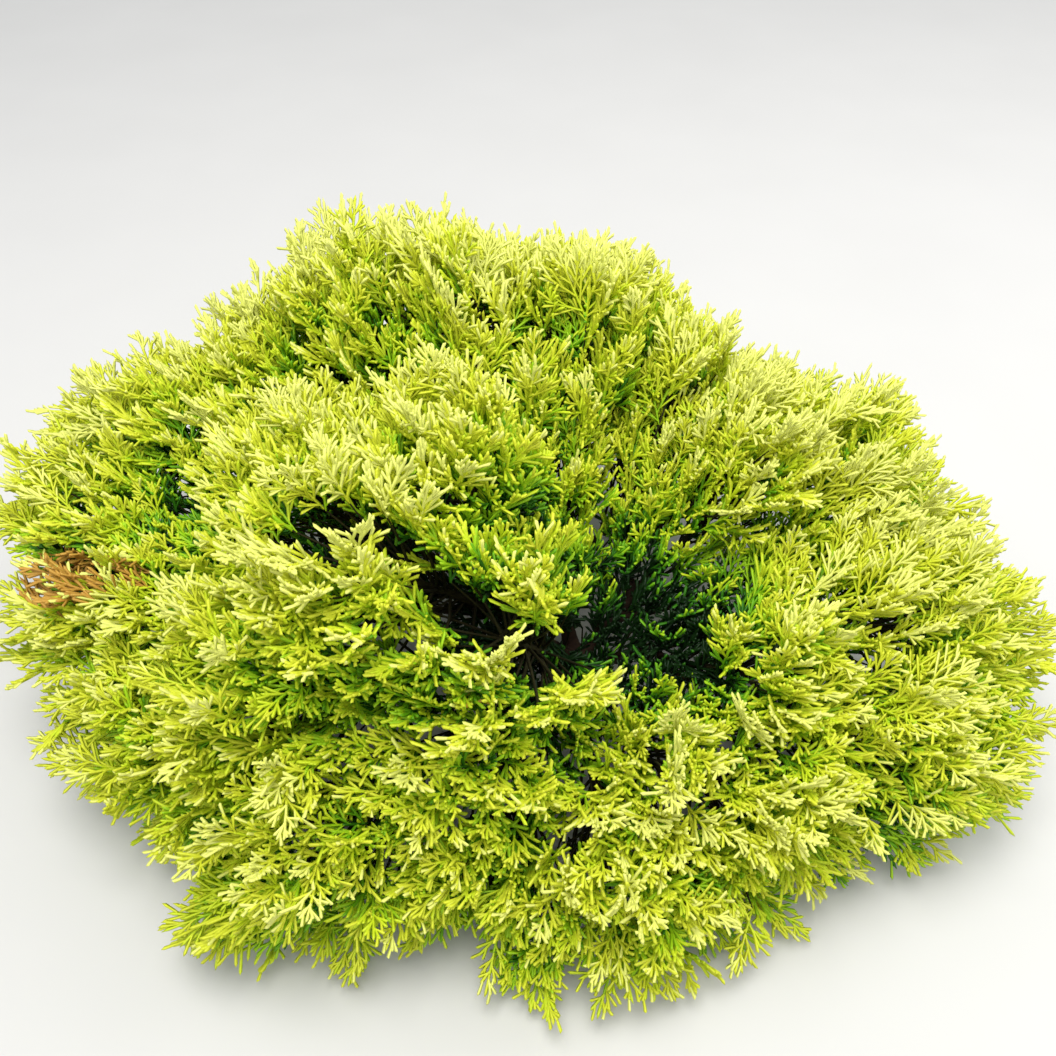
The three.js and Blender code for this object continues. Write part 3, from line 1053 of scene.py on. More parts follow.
@dataclass(frozen=True)
class FloorFinish:
    """A plain pale studio floor."""

    name: str = "pale_floor"
    colour: Colour = linear(206, 204, 200)
    grain: float = 6.0
    mottle: float = 0.03
    roughness: float = 0.85

    def material(self) -> bpy.types.Material:
        """Builds the material.

        Returns:
            The material.
        """
        made = Dressing(self.name)
        cloudy = made.graph.noise(made.place, self.grain)
        low, high = lightened(self.colour, 1 - self.mottle), lightened(self.colour, 1 + self.mottle)
        made.put("Base Color", made.graph.mix(low, high, cloudy))
        made.put("Roughness", self.roughness)
        return made.material


class Tint(Enum):
    """The tints that shoots are dealt into, from the deepest shade to the lightest tips.

    Each has its share of all the shoots and its colour.
    """

    SHADE = (0.09, linear(14, 42, 8))
    DEEP_GREEN = (0.10, linear(50, 110, 14))
    GREEN = (0.13, linear(108, 168, 20))
    LIME = (0.20, linear(160, 202, 28))
    GOLDEN_LIME = (0.24, linear(199, 216, 38))
    GOLD = (0.16, linear(208, 214, 52))
    CREAM = (0.08, linear(226, 229, 116))

    @property
    def share(self) -> float:
        """Its share of all the shoots."""
        return self.value[0]

    @property
    def finish(self) -> ShootFinish:
        """Its finish."""
        return ShootFinish("shoots_" + self.name.lower(), self.value[1])


DEAD_FINISH = ShootFinish("shoots_dead", linear(194, 148, 62))
# Bark and twig colours: their own red-brown and olive, darkened as painted shade so that the stem and
# twigs deep in the crown read dark.
BARK_WITH_PAINTED_SHADE = BarkFinish("bark", linear(26, 18, 13), linear(80, 57, 42))
TWIG_BARK_WITH_PAINTED_SHADE = BarkFinish("twig_bark", linear(24, 22, 10), linear(62, 56, 24))


class GrowthTree:
    """A Geometry Nodes tree with named inputs, run once on a mesh and then taken off."""

    def __init__(self, name: str, inputs: dict[str, tuple[str, object]]) -> None:
        """Starts the tree.

        Args:
            name: the tree's name.
            inputs: each named input's socket type and first value.
        """
        self.tree = bpy.data.node_groups.new(name, "GeometryNodeTree")
        self.tree.interface.new_socket("Geometry", in_out="INPUT", socket_type="NodeSocketGeometry")
        self.tree.interface.new_socket("Geometry", in_out="OUTPUT", socket_type="NodeSocketGeometry")
        self.identifiers = {}
        for label, (kind, value) in inputs.items():
            socket = self.tree.interface.new_socket(label, in_out="INPUT", socket_type=kind)
            if value is not None:
                socket.default_value = value
            self.identifiers[label] = socket.identifier
        self.graph = Graph(self.tree)
        self.entry = self.tree.nodes.new("NodeGroupInput")
        self.exit = self.tree.nodes.new("NodeGroupOutput")

    def value(self, label: str) -> Value:
        """A named input as a value."""
        return Value(self.graph, self.entry.outputs[label])

    def attribute(self, label: str, kind: str) -> Value:
        """A named attribute of the points as a value."""
        return self.graph.add("GeometryNodeInputNamedAttribute", {"data_type": kind}, {"Name": label})

    def finish(self, made: Value) -> None:
        """Ends the tree: realized instances, smooth faces and the material.

        Args:
            made: the geometry that it has made.
        """
        whole = self.graph.add("GeometryNodeRealizeInstances", {}, {0: made})
        smooth = self.graph.add("GeometryNodeSetShadeSmooth", {}, {0: whole})
        dressed = self.graph.add("GeometryNodeSetMaterial", {}, {
            0: smooth, "Material": self.value("Material"),
        })
        self.graph.put(self.exit, 0, dressed)

    def grown(self, name: str, seeds: bpy.types.Mesh, inputs: dict[str, object]) -> bpy.types.Object:
        """Runs the tree on a mesh.

        Args:
            name: the new piece's name.
            seeds: the points or lines that it grows from.
            inputs: values for named inputs.

        Returns:
            A plain mesh object at the origin.
        """
        piece = bpy.data.objects.new(name, seeds)
        bpy.context.scene.collection.objects.link(piece)
        modifier = piece.modifiers.new("growth", "NODES")
        modifier.node_group = self.tree
        for label, value in inputs.items():
            modifier[self.identifiers[label]] = value
        depsgraph = bpy.context.evaluated_depsgraph_get()
        mesh = bpy.data.meshes.new_from_object(piece.evaluated_get(depsgraph))
        piece.modifiers.remove(modifier)
        piece.data = mesh
        mesh.name = name
        for attribute in [a for a in mesh.attributes if a.name in ("way", "lift", "size", "thickness")]:
            mesh.attributes.remove(attribute)
        return piece


class ShootTree(GrowthTree):
    """Sets a short blunt shoot on every point, turned and sized by the point's attributes."""

    def __init__(self) -> None:
        """Builds the tree."""
        super().__init__("shoots on points", {
            "Sides": ("NodeSocketInt", 3),
            "Foot": ("NodeSocketFloat", 0.36),
            "Bulge": ("NodeSocketFloat", 1.75),
            "Blunt": ("NodeSocketFloat", 0.34),
            "Bend": ("NodeSocketFloat", PLUMES.bend),
            "Material": ("NodeSocketMaterial", None),
        })
        graph = self.graph
        cone = graph.add("GeometryNodeMeshCone", {"fill_type": "NONE"}, {
            "Vertices": self.value("Sides"), "Side Segments": 2,
            "Radius Top": 0.0, "Radius Bottom": self.value("Foot"), "Depth": 1.0,
        })
        place = graph.add("GeometryNodeInputPosition", {}, {})
        x, y, z = (graph.add("ShaderNodeSeparateXYZ", {}, {0: place}, k) for k in range(3))
        middle = z * (1 - z) * 4
        wider = 1 + self.value("Bulge") * middle
        moved = graph.add("ShaderNodeCombineXYZ", {}, {
            0: x * wider + z * z * self.value("Bend"),
            1: y * wider,
            2: z + middle * self.value("Blunt"),
        })
        shoot = graph.add("GeometryNodeSetPosition", {}, {"Geometry": cone, "Position": moved})
        rotation = graph.add(
            "FunctionNodeAxesToRotation", {"primary_axis": "Z", "secondary_axis": "X"},
            {0: self.attribute("way", "FLOAT_VECTOR"), 1: self.attribute("lift", "FLOAT_VECTOR")},
        )
        self.finish(graph.add("GeometryNodeInstanceOnPoints", {}, {
            "Points": self.value("Geometry"), "Instance": shoot,
            "Rotation": rotation, "Scale": self.attribute("size", "FLOAT_VECTOR"),
        }))


class TwigTree(GrowthTree):
    """Turns lines of points into round twigs as thick as the points say."""

    def __init__(self) -> None:
        """Builds the tree."""
        super().__init__("twigs on lines", {
            "Sides": ("NodeSocketInt", 4),
            "Material": ("NodeSocketMaterial", None),
        })
        graph = self.graph
        lines = graph.add("GeometryNodeMeshToCurve", {}, {0: self.value("Geometry")})
        ring = graph.add("GeometryNodeCurvePrimitiveCircle", {}, {
            "Resolution": self.value("Sides"), "Radius": 1.0,
        })
        self.finish(graph.add("GeometryNodeCurveToMesh", {}, {
            "Curve": lines, "Profile Curve": ring,
            "Scale": self.attribute("thickness", "FLOAT"), "Fill Caps": True,
        }))


def points_mesh(
    name: str, places: np.ndarray, edges: np.ndarray, columns: dict[str, np.ndarray],
) -> bpy.types.Mesh:
    """A mesh of points or lines with an attribute for each column of numbers or vectors.

    Args:
        name: the mesh's name.
        places: its points.
        edges: the pairs of points that it joins.
        columns: each attribute's numbers or vectors, a row for each point.

    Returns:
        The mesh.
    """
    mesh = bpy.data.meshes.new(name)
    mesh.from_pydata(places.tolist(), edges.tolist(), [])
    for label, column in columns.items():
        vector = column.ndim == 2
        attribute = mesh.attributes.new(label, "FLOAT_VECTOR" if vector else "FLOAT", "POINT")
        attribute.data.foreach_set("vector" if vector else "value", column.astype(np.float32).ravel())
    return mesh


@dataclass(frozen=True)
class Course:
    """A line through the crown, and how far round it something is different.

    The line is given by pixels of the photograph, each with the height of what it shows.
    """

    pixels: tuple[Pixel, ...]
    radius: float

    def marks(self) -> np.ndarray:
        """The line's points."""
        return np.array([seen_at(*pixel) for pixel in self.pixels])

    @staticmethod
    def line_gaps(marks: np.ndarray, points: np.ndarray) -> np.ndarray:
        """How far points are from the line through some marks.

        Args:
            marks: the marks, in order.
            points: the points.

        Returns:
            A distance for each point.
        """
        least = np.full(len(points), np.inf)
        for start, end in zip(marks[:-1], marks[1:]):
            span = end - start
            shares = np.clip((points - start) @ span / span.dot(span), 0, 1)
            least = np.minimum(least, np.linalg.norm(points - start - shares[:, None] * span, axis=1))
        return least


@dataclass(frozen=True)
class Patch(Course):
    """A part of the crown painted lighter or darker than its light makes it: painted shade in the hollows,
    the valley and behind the crest, painted light along the crests and the top edge.
    """

    shift: float

    def shifts(self, points: np.ndarray) -> np.ndarray:
        """The change of tone at points."""
        gaps = self.line_gaps(self.marks(), points)
        return self.shift * np.exp(-((gaps / self.radius) ** 2))


@dataclass(frozen=True)
class Shaft(Course):
    """A part of the crown as seen from the viewpoint: a line carried on towards it.

    It is carried on from start to depth, in steps.
    """

    depth: float
    start: float = 0.02
    steps: int = 7

    def holds(self, points: np.ndarray) -> np.ndarray:
        """Tests which points are inside it.

        Args:
            points: the points.

        Returns:
            True for each point that is inside.
        """
        marks = self.marks()
        ways = unit(np.array(VIEWPOINT) - marks)
        distances = np.linspace(self.start, self.depth, self.steps)
        gaps = [self.line_gaps(marks + ways * distance, points) for distance in distances]
        return np.min(gaps, axis=0) < self.radius


# Lines of pixels along the parts of the crown whose tone is shifted: painted shade behind the crest, in
# the hollow, the valley and the left notch; painted light along the crests and the top edge; and the
# apron, the right slope and the lemon plume made lighter.
SHADE_BEHIND_CREST = ((95, 572, 0.12), (282, 544, 0.165), (425, 575, 0.17), (520, 655, 0.13))
HOLLOW_FLOOR = ((520, 654, 0.12), (590, 635, 0.09), (700, 655, 0.1))
HOLLOW_RIGHT_END = ((700, 655, 0.1), (804, 638, 0.1))
VALLEY = ((480, 450, 0.21), (540, 500, 0.17), (600, 560, 0.13), (640, 590, 0.11))
LEFT_NOTCH = ((150, 440, 0.17), (180, 500, 0.15))
RIGHT_SLOPE = ((644, 451, 0.18), (762, 461, 0.18), (846, 513, 0.15))
CREST_AT_LEFT = ((77, 608, 0.16), (193, 570, 0.2), (353, 584, 0.21), (450, 633, 0.19))
CREST_AT_RIGHT = ((450, 633, 0.19), (545, 693, 0.16), (695, 700, 0.14), (881, 664, 0.11))
APRON = ((224, 783, 0.08), (495, 865, 0.07), (743, 850, 0.07))
LEMON_PLUME = ((400, 390, 0.31), (405, 469, 0.28))
TOP_EDGE = ((232.5, 284.5, 0.25), (412, 185, 0.31), (600, 239, 0.28), (737, 296.5, 0.24))
PAINTED_LIGHT_AND_SHADE = (
    Patch(SHADE_BEHIND_CREST, radius=0.034, shift=-0.34),
    Patch(HOLLOW_FLOOR, radius=0.055, shift=-0.45),
    Patch(HOLLOW_RIGHT_END, radius=0.03, shift=-0.25),
    Patch(VALLEY, radius=0.04, shift=-0.14),
    Patch(LEFT_NOTCH, radius=0.03, shift=-0.15),
    Patch(RIGHT_SLOPE, radius=0.07, shift=0.18),
    Patch(CREST_AT_LEFT, radius=0.04, shift=0.06),
    Patch(CREST_AT_RIGHT, radius=0.035, shift=0.1),
    Patch(APRON, radius=0.07, shift=0.14),
    Patch(LEMON_PLUME, radius=0.03, shift=0.15),
    Patch(TOP_EDGE, radius=0.07, shift=0.12),
)
# Lines of pixels along the dark gaps, and then just outside the crown.
GAP_IN_HOLLOW = ((537, 659, 0.11), (591, 633, 0.1), (645, 647, 0.1))
GAP_ABOVE_HOLLOW = ((600, 600, 0.1), (595, 626, 0.1))
GAP_UNDER_CREST = ((436, 588, 0.16), (487, 635, 0.14))
GAP_BEHIND_CREST = ((294, 539, 0.175), (341, 515, 0.185))
GAP_BESIDE_CREST = ((378, 538, 0.18), (403, 545, 0.18))
GAP_IN_VALLEY = ((557, 500, 0.16), (580, 531, 0.14))
SKY_BEHIND = (
    (330, 168, 0.24), (425, 150, 0.24), (472, 174, 0.24), (503, 204, 0.24), (560, 194, 0.22),
    (640, 208, 0.18), (705, 250, 0.12), (765, 306, 0.1), (825, 340, 0.1), (905, 346, 0.1),
)
SKY_AT_LEFT = ((-10, 372, 0.1), (70, 344, 0.1), (160, 310, 0.12), (215, 258, 0.16), (268, 212, 0.2))
GROUND_HEIGHT = 0.03
GROUND_IN_FRONT = (
    (-15, 795), (62, 806), (88, 848), (64, 905), (120, 965), (215, 990), (290, 962), (370, 985),
    (455, 965), (530, 1003), (600, 1036), (672, 1008), (745, 958), (800, 922), (860, 908),
    (918, 868), (985, 862), (1045, 826),
)
HOLLOWS = (
    Shaft(GAP_IN_HOLLOW, radius=0.018, depth=0.12),
    Shaft(GAP_ABOVE_HOLLOW, radius=0.014, depth=0.12),
    Shaft(GAP_UNDER_CREST, radius=0.012, depth=0.12),
    Shaft(GAP_BEHIND_CREST, radius=0.013, depth=0.12),
    Shaft(GAP_BESIDE_CREST, radius=0.01, depth=0.12),
    Shaft(GAP_IN_VALLEY, radius=0.01, depth=0.1),
    Shaft(SKY_BEHIND, radius=0.026, depth=0.3),
    Shaft(SKY_AT_LEFT, radius=0.024, depth=0.3),
    Shaft(tuple((*pixel, GROUND_HEIGHT) for pixel in GROUND_IN_FRONT), radius=0.018, depth=0.15),
)
# Lines of pixels along the dead sprays, and the share of the shoots there that is dead.
DEAD_AT_LEFT = ((47, 583, 0.1), (73, 575, 0.1))
DEAD_BESIDE_IT = ((122, 570, 0.12), (132, 574, 0.12))
DEAD_TIP_IN_FRONT = ((475, 707, 0.12), (481, 707, 0.12))
DEAD_SPRAYS = (
    Shaft(DEAD_AT_LEFT, radius=0.017, depth=0.12),
    Shaft(DEAD_BESIDE_IT, radius=0.008, depth=0.12),
    Shaft(DEAD_TIP_IN_FRONT, radius=0.005, depth=0.12),
)
DEAD_SHARE = 0.8


def in_hollow(points: np.ndarray) -> np.ndarray:
    """True for the points where the photograph shows a gap or the sky."""
    return np.any([hollow.holds(points) for hollow in HOLLOWS], axis=0)


class Foliage:
    """All the masses: their branchlets, shoots and twigs."""

    seed = 4117
    least_height = 0.003
    most_shoots = 112000
    shoots_a_piece = 22000
    exposure_cell = 0.008
    cell_way = (0.3, 1.0, 0.0)
    light_block = 0.11
    sight_block = 0.3
    sky_rays = unit(np.array([[0, 0, 1], [0.8, 0, 1], [-0.8, 0, 1], [0, 0.8, 1], [0, -0.8, 1.0]]))
    low_rays = 8
    low_rise = 0.22
    thinning = 0.15
    top_margin = 0.014
    most_cut = 0.25
    middle = 0.7
    plume_light = 0.75
    own_light = 0.22
    tone_spread = 0.02
    line_marks = 14
    shoot_tail = 0.02
    stalk_radius = 0.0012
    rib_end_radius = 0.0005

    def __init__(self, paths: list[LimbPath]) -> None:
        """Grows every branchlet by the rule of the solids, and then by finer and inner ones.

        Args:
            paths: the lines of all the limbs.
        """
        self.paths = paths
        crown = Crown(paths)
        masses = [Mass(i, path, crown) for i, path in enumerate(paths)]
        for mass in masses:
            for rule in TWIG_RULES:
                mass.grow(rule)
        self.branchlets = [b for mass in masses for b in mass.branchlets]
        self.owners = [mass.own for mass in masses for _ in mass.branchlets]
        self.rng = np.random.default_rng(self.seed)
        filler = SprayFiller(crown, self.rng)
        parts, self.bearers = [], []
        for number, (branchlet, own) in enumerate(zip(self.branchlets, self.owners)):
            parts.append(filler.fill(branchlet, own))
            self.bearers += [number] * (len(filler.shares) - len(self.bearers))
        self.shares = filler.shares
        self.leafy: dict[int, float] = {}
        self.rows = self.thinned(ShootRows.joined(parts))

    def thinned(self, rows: ShootRows) -> ShootRows:
        """Keeps the plumes that can be seen, less those that would close a hollow.

        Args:
            rows: every shoot.

        Returns:
            The shoots that are kept.
        """
        tips = rows.along(1.0)
        inside = in_hollow(tips) | in_hollow(rows.roots)
        low = np.minimum(tips[:, 2], rows.roots[:, 2]) < self.least_height
        high = tips[:, 2] > CAD_BOX[1][2] + self.top_margin
        plumes = rows.plumes.max() + 1
        cut = rows.plume_means([inside.astype(float)], plumes)[:, 0] > self.most_cut
        rows = rows.chosen(~(low | high | cut[rows.plumes]))
        turns = np.arange(self.low_rays) * 2 * math.pi / self.low_rays
        rises = np.full(self.low_rays, self.low_rise)
        low_rays = unit(np.stack([np.cos(turns), np.sin(turns), rises], axis=1))
        rays = np.concatenate([self.sky_rays, low_rays, unit(np.array([VIEWPOINT]))])
        seen = self.exposure(rows.along(self.middle), rays, self.sight_block)
        sizes = np.bincount(rows.plumes, minlength=plumes)
        score = rows.plume_means(seen, plumes).max(axis=1) + self.rng.uniform(0, self.thinning, plumes)
        order = np.argsort(-score)
        kept = np.zeros(plumes, dtype=bool)
        kept[order[np.cumsum(sizes[order]) <= self.most_shoots]] = True
        kept &= sizes > 0
        for number in np.nonzero(kept)[0]:
            bearer = self.bearers[number]
            self.leafy[bearer] = max(self.leafy.get(bearer, 0.0), self.shares[number])
        return rows.chosen(kept[rows.plumes])

    def shoots(self) -> ShootRows:
        """Gives every kept shoot its tone, from its place in the plume and the plume's light.

        Returns:
            A row for each shoot.
        """
        rows = self.rows
        # Painted light and shade: the fewer shoots shade a shoot from the sky, the lighter its tone, so
        # inner shoots are dealt the darker tints down to near-black; this is partly the real greening of a
        # golden juniper in shade and partly painted shade.
        light = self.exposure(rows.along(self.middle), self.sky_rays, self.light_block).mean(axis=0)
        plumes = rows.plumes.max() + 1
        shared = rows.plume_means([light], plumes)[rows.plumes, 0]
        rows.tones = rows.tones + self.plume_light * shared + self.own_light * light
        rows.tones = rows.tones + self.rng.normal(0, self.tone_spread, len(light))
        roots = rows.plume_means(rows.roots.T, plumes)
        for patch in PAINTED_LIGHT_AND_SHADE:
            rows.tones += patch.shifts(roots)[rows.plumes]
        return rows

    def exposure(self, places: np.ndarray, rays: np.ndarray, block: float) -> np.ndarray:
        """How open each place is along each ray, from 0 to 1, by counting the shoots further out.

        Args:
            places: the middles of the shoots.
            rays: the ways that light or sight comes from.
            block: how much of it each shoot takes away.

        Returns:
            A row for each ray, with a number for each place.
        """
        found = np.zeros((len(rays), len(places)))
        for ray, total in zip(rays, found):
            across = unit(np.cross(ray, self.cell_way))
            over = np.cross(ray, across)
            cells = np.stack([places @ across, places @ over], axis=1) / self.exposure_cell
            cells = np.floor(cells).astype(int)
            order = np.lexsort((-(places @ ray), cells[:, 1], cells[:, 0]))
            fresh = np.ones(len(order), dtype=bool)
            fresh[1:] = (cells[order][1:] != cells[order][:-1]).any(axis=1)
            first = np.maximum.accumulate(np.where(fresh, np.arange(len(order)), 0))
            total[order] = np.exp(-block * (np.arange(len(order)) - first))
        return found

    def shoot_pieces(self) -> list[bpy.types.Object]:
        """The shoots as pieces: dead ones, and live ones dealt into tints from darkest to lightest.

        Returns:
            The pieces.
        """
        rows = self.shoots()
        middles = rows.along(0.5)
        dead = np.any([spray.holds(middles) for spray in DEAD_SPRAYS], axis=0)
        dead &= self.rng.random(len(dead)) < DEAD_SHARE
        live = rows.chosen(~dead)
        order = np.argsort(live.tones)
        bounds = np.round(np.cumsum([0.0] + [tint.share for tint in Tint]) * len(order)).astype(int)
        tree = ShootTree()
        pieces = self.tinted(tree, rows.chosen(dead), DEAD_FINISH)
        for tint, start, end in zip(Tint, bounds[:-1], bounds[1:]):
            pieces += self.tinted(tree, live.chosen(np.sort(order[start:end])), tint.finish)
        return pieces

    def tinted(self, tree: ShootTree, rows: ShootRows, finish: ShootFinish) -> list[bpy.types.Object]:
        """Shoots of one finish, in as few pieces as their size allows.

        Args:
            tree: what grows them.
            rows: the shoots.
            finish: their finish.

        Returns:
            The pieces.
        """
        material = finish.material()
        parts = math.ceil(len(rows.roots) / self.shoots_a_piece)
        pieces = []
        for part, which in enumerate(np.array_split(np.arange(len(rows.roots)), parts)):
            chosen = rows.chosen(which)
            sizes = np.stack([chosen.widths, chosen.widths, chosen.lengths], axis=1)
            name = finish.name + (f"_{part + 1}" if parts > 1 else "")
            columns = {"way": chosen.ways, "lift": chosen.lifts, "size": sizes}
            seeds = points_mesh(name, chosen.roots, np.empty((0, 2), int), columns)
            pieces.append(tree.grown(name, seeds, {"Material": material}))
        return pieces

    def twig_lines(self) -> tuple[np.ndarray, np.ndarray, np.ndarray]:
        """The lines of the woody shoots, stalks and ribs, as far as they bear plumes.

        Returns:
            Points, edges and thickness.
        """
        places, edges, thick = [], [], []

        def line(points: np.ndarray, radii: np.ndarray) -> None:
            """Adds one line.

            Args:
                points: its points.
                radii: the twig's radius at each of them.
            """
            first = sum(len(p) for p in places)
            places.append(points)
            thick.append(radii)
            edges.append(np.stack([np.arange(len(points) - 1), np.arange(1, len(points))], axis=1) + first)

        for own, path in enumerate(self.paths):
            end = max(self.branchlets[n].place for n in self.leafy if self.owners[n] == own)
            end = max(end, path.mass_from)
            shares = np.linspace(path.mass_from - self.shoot_tail, end, self.line_marks)
            line(path.points(shares), path.radii(shares))
        for number, reach in sorted(self.leafy.items()):
            wood = self.branchlets[number].wood(reach)
            line(wood, np.linspace(self.stalk_radius, self.rib_end_radius, len(wood)))
        return np.concatenate(places), np.concatenate(edges), np.concatenate(thick)

    def twig_piece(self) -> bpy.types.Object:
        """The woody shoots, stalks and ribs as one piece.

        Returns:
            The piece.
        """
        places, edges, thick = self.twig_lines()
        seeds = points_mesh("twigs", places, edges, {"thickness": thick})
        return TwigTree().grown("twigs", seeds, {"Material": TWIG_BARK_WITH_PAINTED_SHADE.material()})


class Wood:
    """The stem and boughs as one body with the bark's relief."""

    voxel = 0.0016
    relief = 0.0007
    stem_rings = 26
    stem_sides = 48
    bough_rings = 26
    bough_sides = 12
    foot_crowding = 1.3
    bough_tail = 0.03
    swell = 0.35
    swell_length = 0.04
    grain = 420.0
    stretch = 0.85
    level = 0.75
    octaves = 3
    chunk = 4000
    stem_marks = 12
    limb_marks = 30
    easing = 2

    def __init__(self, paths: list[LimbPath]) -> None:
        """Takes the limbs' lines.

        Args:
            paths: the lines of all the limbs.
        """
        self.paths = paths
        self.points: list[np.ndarray] = []
        self.faces: list[list[int]] = []

    def sleeve(self, rings: list[np.ndarray]) -> None:
        """Adds a closed sleeve through rings of points, with a fan at each end.

        Args:
            rings: the rings, each of as many points.
        """
        first = sum(len(p) for p in self.points)
        sides = len(rings[0])
        ends = np.array([rings[0].mean(axis=0), rings[-1].mean(axis=0)])
        self.points.append(np.concatenate([*rings, ends]))
        low, high = first + sides * len(rings), first + sides * len(rings) + 1
        top = first + sides * (len(rings) - 1)
        for k in range(sides):
            n = (k + 1) % sides
            self.faces.append([low, first + n, first + k])
            self.faces.append([high, top + k, top + n])
            for i in range(len(rings) - 1):
                a = first + i * sides
                self.faces.append([a + k, a + n, a + sides + n, a + sides + k])

    def add_stem(self) -> None:
        """Adds the stem with its lobed root flare and a rounded head."""
        turns = np.linspace(0, 2 * np.pi, self.stem_sides, endpoint=False)
        circle = np.stack([np.cos(turns), np.sin(turns), np.zeros_like(turns)], axis=1)
        rings = []
        for height in np.linspace(0, 1, self.stem_rings) ** self.foot_crowding * STEM.height:
            rings.append(STEM.centre(height) + circle * STEM.radii(height, turns)[:, None])
        self.sleeve(rings)

    def add_bough(self, path: LimbPath) -> None:
        """Adds one bough from its fork to a little way inside its mass.

        Args:
            path: its line.
        """
        shares = np.linspace(0, path.mass_from + self.bough_tail, self.bough_rings)
        centres, ways, radii = path.points(shares), path.tangents(shares), path.radii(shares)
        sides = side_of(ways)
        ups = unit(np.cross(sides, ways))
        turns = np.linspace(0, 2 * np.pi, self.bough_sides, endpoint=False)
        swell = 1 + self.swell * np.exp(-shares / self.swell_length)
        self.sleeve([
            c + r * s * (np.outer(np.cos(turns), side) + np.outer(np.sin(turns), up))
            for c, r, s, side, up in zip(centres, radii, swell, sides, ups)
        ])

    def piece(self) -> bpy.types.Object:
        """Joins stem and boughs into one skin and presses the bark's furrows into it.

        Returns:
            The piece.
        """
        self.add_stem()
        for path in self.paths:
            self.add_bough(path)
        mesh = bpy.data.meshes.new("stem_and_boughs")
        mesh.from_pydata(np.concatenate(self.points).tolist(), [], self.faces)
        piece = bpy.data.objects.new("stem_and_boughs", mesh)
        bpy.context.scene.collection.objects.link(piece)
        remesh = piece.modifiers.new("one skin", "REMESH")
        remesh.mode = "VOXEL"
        remesh.voxel_size = self.voxel
        smooth = piece.modifiers.new("eased", "SMOOTH")
        smooth.iterations = self.easing
        depsgraph = bpy.context.evaluated_depsgraph_get()
        skin = bpy.data.meshes.new_from_object(piece.evaluated_get(depsgraph))
        piece.modifiers.clear()
        piece.data = skin
        skin.name = "stem_and_boughs"
        self.furrow(skin)
        skin.materials.clear()
        skin.materials.append(BARK_WITH_PAINTED_SHADE.material())
        skin.shade_smooth()
        return piece

    def furrow(self, skin: bpy.types.Mesh) -> None:
        """Presses furrows that run along the limbs into a skin, and keeps its foot flat.

        Args:
            skin: the skin.
        """
        count = len(skin.vertices)
        places, normals = np.empty(count * 3), np.empty(count * 3)
        skin.vertices.foreach_get("co", places)
        skin.vertices.foreach_get("normal", normals)
        places, normals = places.reshape(-1, 3), normals.reshape(-1, 3)
        stem = [STEM.centre(height) for height in np.linspace(0, STEM.height, self.stem_marks)]
        shares = [np.linspace(0, p.mass_from, self.limb_marks) for p in self.paths]
        lines = np.concatenate([stem, *(p.points(s) for p, s in zip(self.paths, shares))])
        upright = np.repeat(UP[None], self.stem_marks, axis=0)
        ways = np.concatenate([upright, *(p.tangents(s) for p, s in zip(self.paths, shares))])
        for start in range(0, count, self.chunk):
            chunk = places[start:start + self.chunk]
            near = np.linalg.norm(chunk[:, None] - lines[None], axis=2).argmin(axis=1)
            way = ways[near]
            seen = chunk - way * (chunk * way).sum(axis=1)[:, None] * self.stretch
            depth = np.array([
                noise.turbulence(Vector(p * self.grain), self.octaves, True) for p in seen
            ])
            chunk += normals[start:start + self.chunk] * ((depth - self.level) * self.relief)[:, None]
        places[:, 2] = np.where(places[:, 2] < self.voxel, 0.0, places[:, 2])
        skin.vertices.foreach_set("co", places.ravel())
        skin.update()


@dataclass(frozen=True)
class Lamp:
    """A large soft light: its name, place, side and power in watts."""

    name: str
    place: Place
    side: float
    power: float


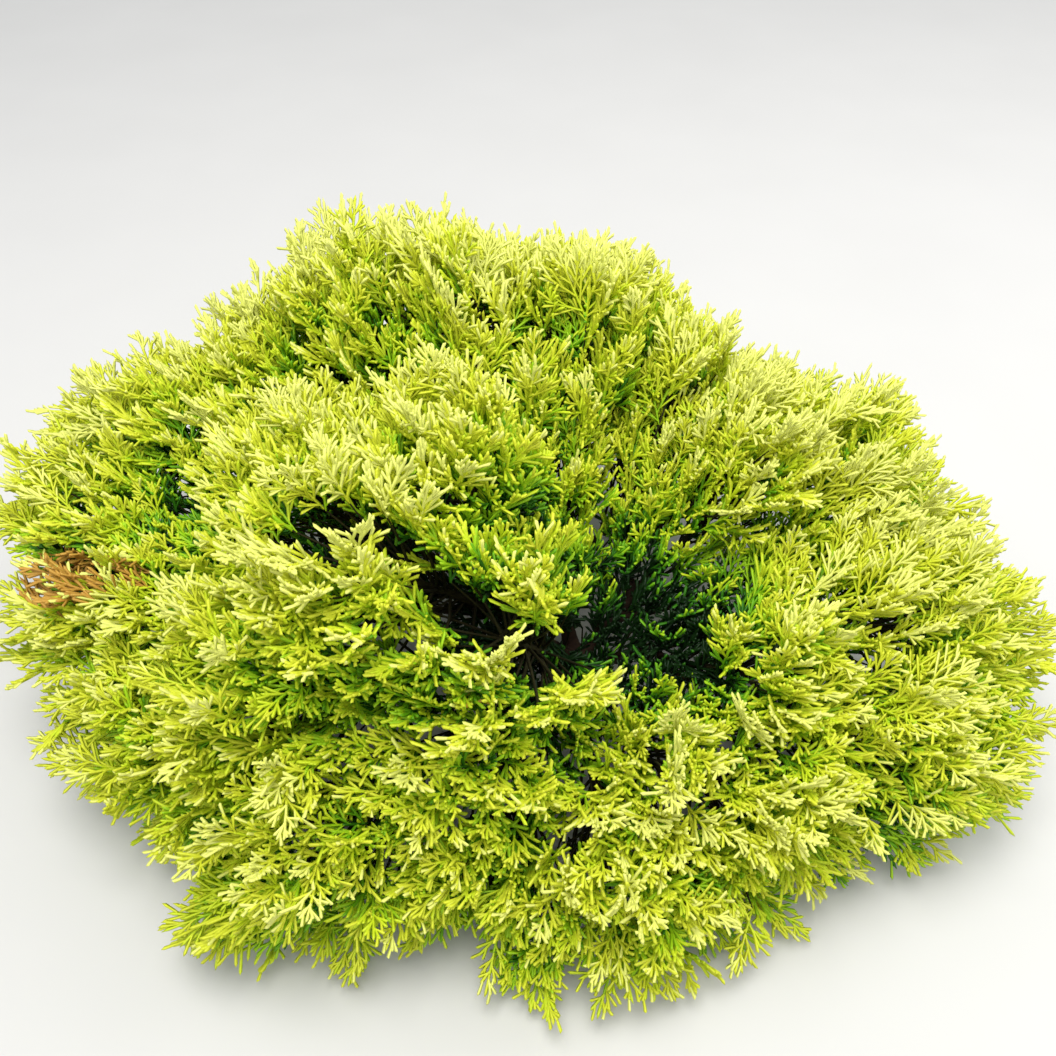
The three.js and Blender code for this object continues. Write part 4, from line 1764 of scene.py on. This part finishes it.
@dataclass(frozen=True)
class Studio:
    """The floor, the lights and the camera, which looks down on the plant as the photograph does."""

    floor_side: float = 12.0
    floor_drop: float = 0.0006
    sky_colour: Colour = (0.93, 0.96, 1.0, 1.0)
    sky_strength: float = 0.86
    lamps: tuple[Lamp, ...] = (
        Lamp("key", (-0.15, -0.35, 1.95), 1.0, 31.0),
        Lamp("side", (1.5, 0.5, 1.3), 1.2, 12.0),
    )
    lit: Place = (0.0, 0.0, 0.1)
    nearest: float = 0.01

    def build(self) -> None:
        """Builds all three."""
        scene = bpy.context.scene
        scene.view_settings.view_transform = "Standard"
        camera = bpy.data.objects.new("camera", bpy.data.cameras.new("camera"))
        camera.data.lens = LENS_MM
        camera.data.clip_start = self.nearest
        camera.location = VIEWPOINT
        self.aim(camera, VIEW_TARGET)
        scene.collection.objects.link(camera)
        scene.camera = camera
        world = bpy.data.worlds.new("soft sky")
        world.use_nodes = True
        background = world.node_tree.nodes["Background"]
        background.inputs["Color"].default_value = self.sky_colour
        background.inputs["Strength"].default_value = self.sky_strength
        scene.world = world
        for lamp in self.lamps:
            self.light(lamp)
        self.floor()

    @staticmethod
    def aim(thing: bpy.types.Object, target: Place) -> None:
        """Turns a camera or light towards a point."""
        way = Vector(target) - thing.location
        thing.rotation_euler = way.to_track_quat("-Z", "Y").to_euler()

    def light(self, lamp: Lamp) -> None:
        """Adds one light.

        Args:
            lamp: what it is like.
        """
        light = bpy.data.lights.new(lamp.name, "AREA")
        light.size, light.energy = lamp.side, lamp.power
        holder = bpy.data.objects.new(lamp.name, light)
        holder.location = lamp.place
        self.aim(holder, self.lit)
        bpy.context.scene.collection.objects.link(holder)

    def floor(self) -> None:
        """Adds the floor."""
        half, z = self.floor_side / 2, -self.floor_drop
        mesh = bpy.data.meshes.new("floor")
        corners = [(-half, -half, z), (half, -half, z), (half, half, z), (-half, half, z)]
        mesh.from_pydata(corners, [], [(0, 1, 2, 3)])
        mesh.materials.append(FloorFinish().material())
        floor = bpy.data.objects.new("floor", mesh)
        bpy.context.scene.collection.objects.link(floor)


def settle(piece: bpy.types.Object, nodes: list[str]) -> None:
    """Makes a piece ride on the plant's body and stand for its nodes.

    Args:
        piece: the piece.
        nodes: the nodes that it replaces.
    """
    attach(piece, "root")
    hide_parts(*nodes)
    LOG.info("%s: %d faces", piece.name, len(piece.data.polygons))


def main() -> None:
    """Builds the studio and the plant."""
    Studio().build()
    paths: dict[str, LimbPath] = {}
    for limb in LIMBS:
        paths[limb.name] = LimbPath(limb, paths.get(limb.origin))
    limbs = list(paths.values())
    settle(Wood(limbs).piece(), ["stem", *("bough_" + p.name for p in limbs)])
    foliage = Foliage(limbs)
    masses = ["foliage_" + p.name for p in limbs]
    settle(foliage.twig_piece(), masses)
    for piece in foliage.shoot_pieces():
        settle(piece, masses)


if __name__ == "__main__":
    logging.basicConfig(level=logging.INFO, format="%(name)s: %(message)s")
    main()
